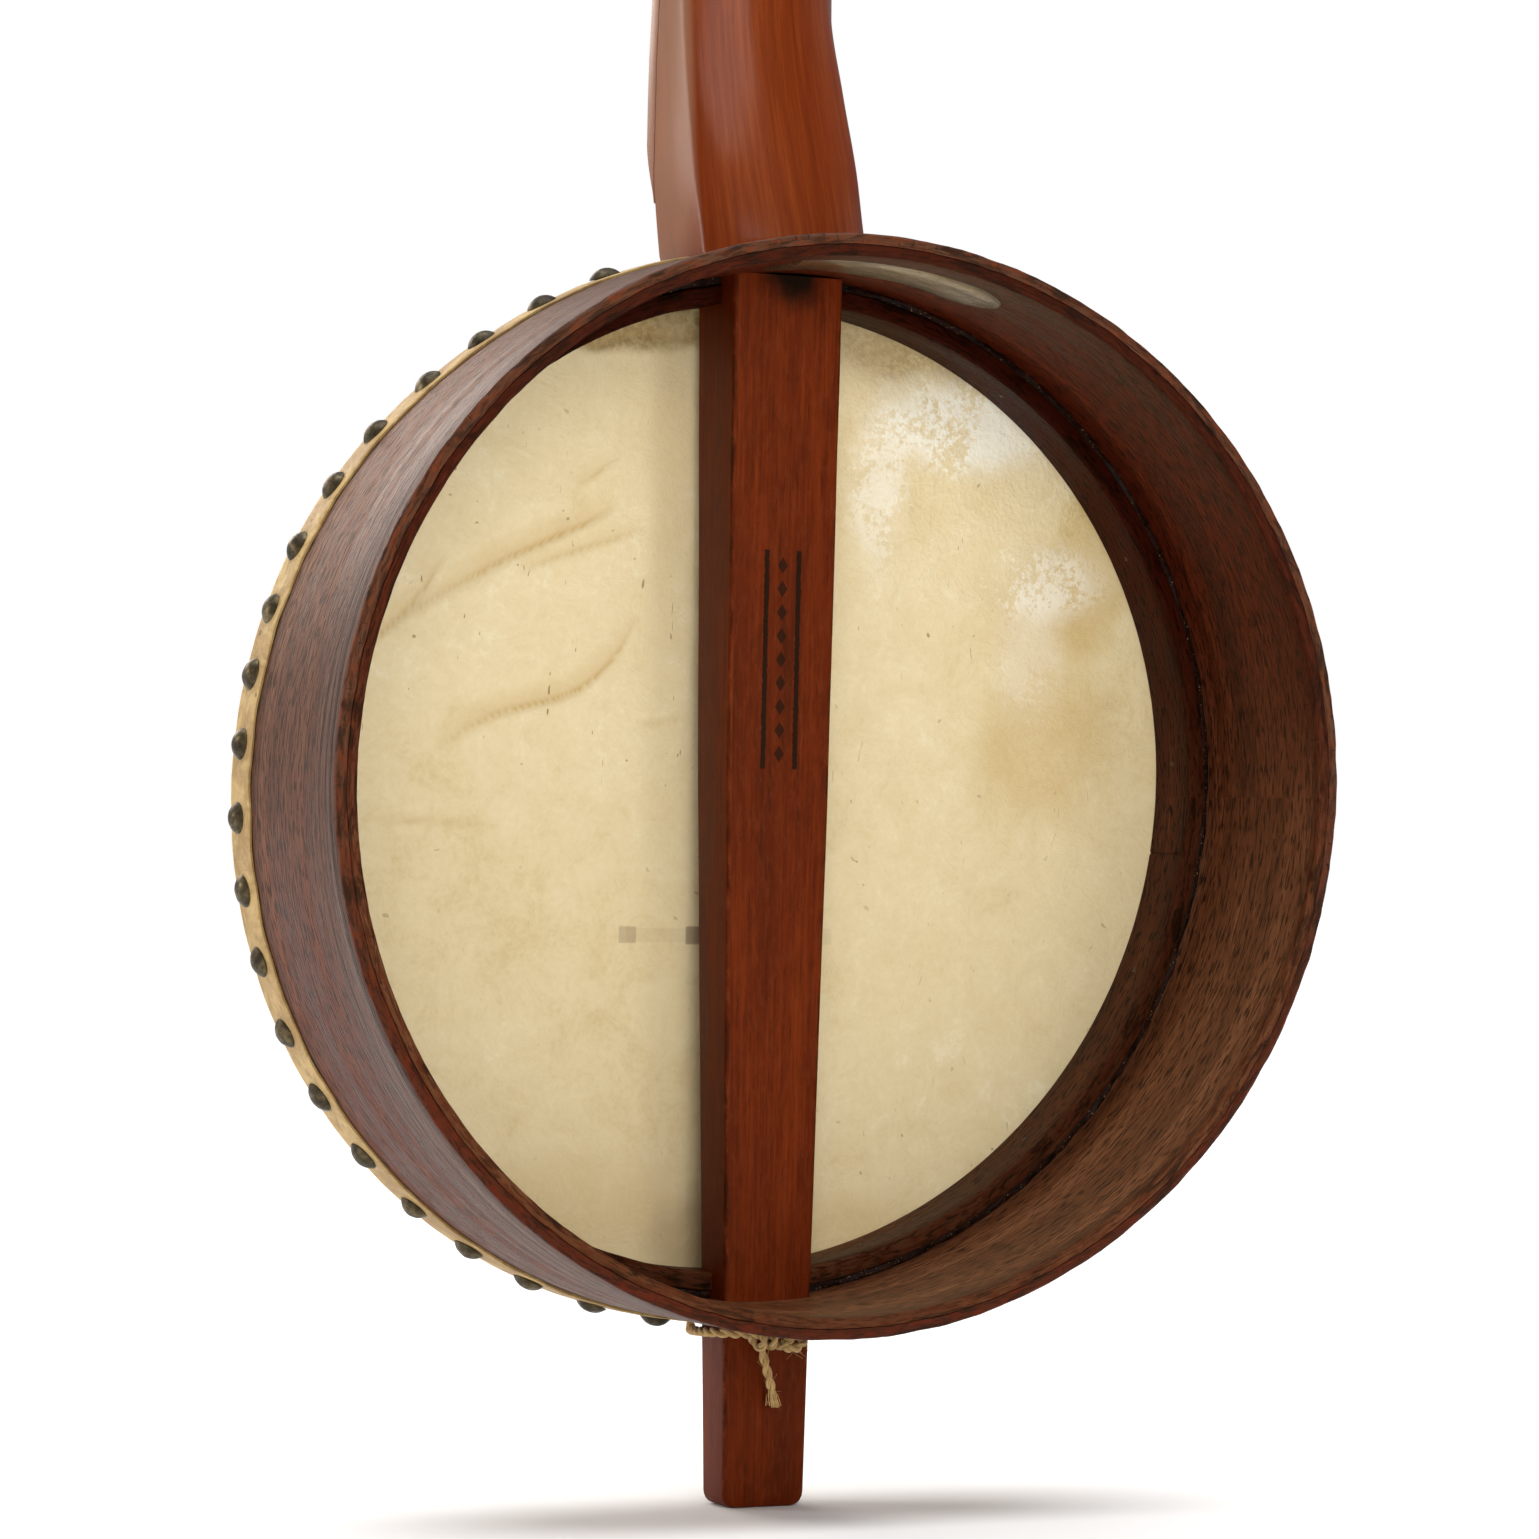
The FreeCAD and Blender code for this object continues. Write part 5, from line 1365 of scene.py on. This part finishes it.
def pegs(wood_paint, gut):
    for number, (x, up) in PEG_PLACES.items():
        def place(p, x=x, up=up):
            return on_peghead(x + p.x, up - p.y, HEAD_THICK + p.z)
        body = f"tuning_peg_{number}"
        piece(carved_peg(place), f"turned_peg_{number}", wood_paint, f"peg_{number}", body,
              angle=40)
        turns = windings(place, -HEAD_THICK - 11.0, -HEAD_THICK - 5.2, 6)
        piece(turns, f"peg_turns_{number}", gut, f"string_winding_{number}", body, angle=60)

    def place_fifth(p):
        return Vector((FIFTH_PEG.x - p.z, FIFTH_PEG.y + p.y, FIFTH_PEG.z + p.x))
    shape = Shape()
    shaft = [(0, -16.5), (2.9, -16.5), (3.0, -16), (3.4, 0), (3.4, 7.0), (5.3, 7.25), (5.75, 7.7), (5.8, 8.4),
             (5.4, 8.8), (5.6, 9.1), (5.3, 9.7), (4.4, 10.1), (3.8, 11.6), (3.2, 13.6), (3.0, 15.4), (3.1, 17.2),
             (2.0, 19), (0, 19.3)]
    shape.turned(shaft, 32, place_fifth)
    thumb(shape, place_fifth, 25.2, 0.0)
    piece(shape, "turned_peg_5", wood_paint, "peg_5", "tuning_peg_5", angle=40)
    piece(windings(place_fifth, 1.0, 6.2, 5.5), "peg_turns_5", gut, "string_winding_5",
          "tuning_peg_5", angle=60)


def string_line(number):
    """A string's bends: tailpiece, bridge, its nut, and where it meets its peg's turns."""
    tilt = TAIL_TILT
    front = Vector((string_at(number, "tail"), TAIL_SEAT[1] + 5.5 * math.sin(tilt) - 0.5,
                    TAIL_SEAT[2] - 5.5 * math.cos(tilt)))
    inward = Vector((0, math.cos(tilt), math.sin(tilt)))
    saddle = Vector((string_at(number, "bridge"), BRIDGE_TOP + abs(number - 3) * 0.25 - 0.1, BRIDGE_HEIGHT))
    points = [front + inward * 5.0, front + inward * 1.2, front, saddle - UP * 1.2, saddle + UP * 1.2]
    if number == 5:
        points += [Vector((PIP.x, -90.75, PIP.z - 1.2)), Vector((PIP.x, -90.7, PIP.z + 1.0)),
                   Vector((-24.4, -81.68, 481))]
    else:
        nut = Vector((string_at(number, "nut"), -89.6, NUT_HEIGHT))
        x, up = PEG_PLACES[number]
        at_peg = on_peghead(math.copysign(abs(x) - 4.88, x), up - 0.5, -8.0)
        points += [nut, nut + Vector((0, 0.05, 3.0)), at_peg]
    return points


def strings(gut):
    for number in range(1, 6):
        points = string_line(number)
        radius = STRING_RADIUS * (1.15 if number == 4 else 1.0)
        shape = Shape()
        shape.tube(points, radius, 8)
        inward = (points[0] - points[1]).normalized()
        knot = []
        for step in range(60):
            t = TAU * step / 60
            across = Vector((math.sin(t) + 1.7 * math.sin(2 * t), 0, math.cos(t) - 1.7 * math.cos(2 * t)))
            knot.append(points[0] + inward * (0.3 + 0.6 * math.sin(3 * t)) + across * 0.42)
        shape.tube(knot, STRING_RADIUS, 7)
        piece(shape, f"gut_string_{number}", gut, f"string_{number}", angle=60)


def carved_bridge(paint):
    """Maple, on four feet with three arches between them, thinned toward its notched top."""
    foot = NECK_FRONT - 0.05
    tall = foot - BRIDGE_TOP
    outline = []
    for left, right in ((14, 30), (-8, 8), (-30, -14)):
        middle, half = (left + right) / 2, (right - left) / 2
        for step in range(13):
            angle = math.pi * step / 12
            outline.append((middle + half * math.cos(angle), foot - 8.0 * math.sin(angle) ** 0.7))
    outline = [(36, foot)] + outline + [(-36, foot), (-35.3, foot - tall * 0.3), (-34.5, foot - tall * 0.55)]
    top = []
    for step in range(21):
        x = -28 + 56 * step / 20
        top.append((x, BRIDGE_TOP + 0.1 + 0.9 * (abs(x) / 28) ** 2))
    for number in (5, 4, 3, 2, 1):
        x = string_at(number, "bridge")
        top = [p for p in top if abs(p[0] - x) > 0.9]
        bottom = BRIDGE_TOP + abs(number - 3) * 0.25 + 0.3
        top += [(x - 0.55, bottom - 0.5), (x - 0.4, bottom), (x + 0.4, bottom), (x + 0.55, bottom - 0.5)]
    outline += [(-32, BRIDGE_TOP + 3.0)] + sorted(top)
    outline += [(32, BRIDGE_TOP + 3.0), (34.5, foot - tall * 0.55), (35.3, foot - tall * 0.3)]
    shape = Shape()

    def put(x, y, side):
        thick = 2.0 - 1.0 * (foot - y) / tall
        return Vector((x, y, BRIDGE_HEIGHT + side * thick))
    shape.slab(outline, -1, 1, put)
    piece(shape, "carved_bridge", paint, "bridge", edge=0.18)


def tail_plate(paint):
    """The tailpiece: a small tapered plate with string holes and two bores for the twine."""
    tilt = Matrix.Rotation(TAIL_TILT, 3, "X")
    top = []
    rise, half = 6.0, 18.0
    radius = (half ** 2 + rise ** 2) / (2 * rise)
    spread = math.asin(half / radius)
    for step in range(25):
        angle = spread * (1 - step / 12)
        top.append((radius * math.sin(angle), radius * math.cos(angle) - radius))
    outline = top + [(-17.2, -11), (-15.8, -18), (-14.0, -25), (-12.9, -29.3), (-12.2, -30), (12.2, -30),
                     (12.9, -29.3), (14.0, -25), (15.8, -18), (17.2, -11)]
    shape = Shape()
    shape.slab(outline, 0, 5.4, lambda x, up, depth: tilt @ Vector((x, depth, up)) + Vector(TAIL_SEAT))
    plate = piece(shape, "tail_plate", paint, "tailpiece", edge=0.7)
    cutter = Shape()
    for number in range(1, 6):
        x = string_at(number, "tail")
        profile = [(0, -1), (0.75, -1), (0.75, 2.8), (1.95, 2.8), (1.95, 7), (0, 7)]
        cutter.turned(profile, 20, lambda p: tilt @ Vector((x + p.x, p.z, p.y - 5.5)) + Vector(TAIL_SEAT))
    for side in (1, -1):
        start, toward = (Vector((side * x, y, z)) for x, y, z in TWINE_SIDE[:2])
        cutter.tube([start - (toward - start) * 0.02, toward], 1.62, 20)
    carve(plate, cutter)


# ---------------------------------------------------------------- stage

def stage():
    """A wide pale floor under the stub's end, an even white surround, and soft lamps behind the pot."""
    floor = add_object("floor", bpy.data.meshes.new("floor"))
    half, level = 14.0, cad_box[0][2] - 0.0002
    corners = [(-half, -half, level), (half, -half, level), (half, half, level), (-half, half, level)]
    floor.data.from_pydata(corners, [], [(0, 1, 2, 3)])
    paint = Paint("pale_floor", Roughness=0.8, Specular_IOR_Level=0.2)
    cloud = paint.noise(paint.place(), 3, 3)
    pale = paint.ramp(cloud, [(0.3, (0.93, 0.93, 0.93, 1)), (0.7, (0.96, 0.96, 0.96, 1))])
    floor.data.materials.append(paint.finish(pale))
    surround()
    lamp("key", 14, 16, 2.6, (1.9, 1.4), 35, (1, 0.97, 0.93))
    lamp("glint", -26, 10, 2.4, (0.5, 0.4), 5, (1, 0.98, 0.95))
    lamp("front", 170, 24, 2.2, (1.3, 0.8), 16, (1, 0.88, 0.8))
    lamp("side", 117, 14, 1.8, (0.5, 0.7), 8.5, (1, 0.95, 0.9))
    overhead = bpy.data.lights.new("overhead", "SUN")
    overhead.energy = 3.2
    overhead.angle = math.radians(60)
    add_object("overhead", overhead).location = (0, 0, 3)
    bpy.context.scene.view_settings.view_transform = "Standard"


def surround():
    """A studio that is white to look at, and lights the object from the skin's side more than the back's."""
    world = bpy.data.worlds.new("surround")
    world.use_nodes = True
    graph = Graph(world.node_tree)
    depth = graph.node("SeparateXYZ", {0: graph.node("TexCoord", {}).outputs["Generated"]}).outputs["Y"]
    light = graph.node("MapRange", {0: depth, 1: -0.5, 2: 0.25, 3: 0.34, 4: 0.1}).outputs[0]
    seen = graph.node("LightPath", {}).outputs["Is Camera Ray"]
    background = graph.tree.nodes["Background"]
    background.inputs[0].default_value = (1, 1, 1, 1)
    graph.tree.links.new(graph.math("MAXIMUM", light, seen), background.inputs[1])
    bpy.context.scene.world = world


def lamp(name, azimuth, elevation, distance, size, power, colour):
    """A soft rectangular lamp that faces the pot, at an azimuth from +Y toward +X."""
    azimuth, elevation = math.radians(azimuth), math.radians(elevation)
    data = bpy.data.lights.new(name, "AREA")
    data.shape = "RECTANGLE"
    data.size, data.size_y = size
    data.energy = power
    data.color = colour
    made = add_object(name, data)
    toward = Vector((math.sin(azimuth) * math.cos(elevation), math.cos(azimuth) * math.cos(elevation),
                     math.sin(elevation)))
    made.location = toward * distance
    made.rotation_euler = toward.to_track_quat("Z", "Y").to_euler()
    made.visible_camera = False


# ---------------------------------------------------------------- the banjo

def build():
    camera()
    twine(twine_paint())
    ply_out = wood("hoop_outside", (58, 30, 18), (86, 53, 38), (120, 86, 66), streak=(6, 110),
                   fibre=(80, 1000), pore=(170, 900), pores=0.8, cut=(0.5, 0.61), worn=(94, 42, 20),
                   nicks=0.6, rough=(0.44, 0.58), relief=0.6, marks=outside_marks_and_shade, Specular_IOR_Level=0.26,
                   Specular_Tint=WARM_VARNISH)
    ply_in = wood("hoop_inside", (66, 34, 17), (104, 62, 38), (142, 95, 66), streak=(5, 90),
                  fibre=(90, 1000), pore=(170, 1050), pores=0.8, cut=(0.51, 0.62), worn=(74, 31, 13),
                  nicks=0.3, rough=(0.46, 0.58), relief=0.5, marks=inside_top_shade, Specular_IOR_Level=0.16,
                  Specular_Tint=WARM_VARNISH)
    ring_wood = wood("ring_stained", (48, 24, 12), (78, 43, 25), (108, 66, 42), streak=(9, 80), pore=(220, 800),
                     pores=0.8, cut=(0.52, 0.62), worn=(64, 26, 10), rough=(0.4, 0.54), relief=0.45,
                     marks=inside_top_shade, Specular_IOR_Level=0.06, Specular_Tint=WARM_VARNISH)
    pot(ply_out, ply_in, ring_wood, tongue_paint(), glue_paint(), steel_paint())
    calf_head(skin_paint())
    tack_heads(tack_paint())
    pole_wood = wood("pole_cherry", (66, 18, 1), (92, 29, 3), (120, 46, 10), streak=(7, 70), fibre=(22, 900),
                     pore=(130, 1300), pores=0.35, worn=(110, 50, 24), rough=(0.46, 0.56), relief=0.12,
                     marks=burnt_ornament_and_top_shade, Specular_IOR_Level=0.14, Specular_Tint=WARM_VARNISH)
    piece(pole_shape(uneven=0.12), "square_pole", pole_wood, "perch_pole", angle=42)
    neck_wood = wood("neck_cherry", (86, 27, 2), (110, 41, 5), (134, 62, 18), streak=(5, 42), fibre=(20, 700),
                     pore=(120, 1300), pores=0.16, rough=(0.4, 0.5), relief=0.1, Specular_IOR_Level=0.2,
                     Specular_Tint=WARM_VARNISH, marks=heel_side_sheen, Coat_Weight=0.3, Coat_Roughness=0.2)
    carved_neck(neck_wood)
    fingerboard(neck_wood)
    board_wood = wood("board_walnut", (40, 22, 12), (66, 38, 22), (94, 60, 38), streak=(4, 70), fibre=(30, 1100),
                      pore=(110, 1700), pores=0.7, rough=(0.38, 0.55), relief=0.25)
    peghead_plate(board_wood)
    bone_parts(bone_paint())
    gut = gut_paint()
    pegs(wood("peg_rosewood", (38, 16, 8), (70, 32, 17), (104, 56, 32), streak=(30, 160), fibre=(60, 1400),
              pore=(300, 2200), pores=0.7, rough=(0.26, 0.4), relief=0.15, Coat_Weight=0.2,
              Coat_Roughness=0.2), gut)
    strings(gut)
    carved_bridge(wood("bridge_maple", (180, 136, 86), (206, 166, 114), (226, 192, 144), streak=(14, 120),
                       fibre=(60, 1600), pore=(400, 2600), pores=0.25, rough=(0.42, 0.55), relief=0.12))
    tail_plate(board_wood)
    stage()


build()
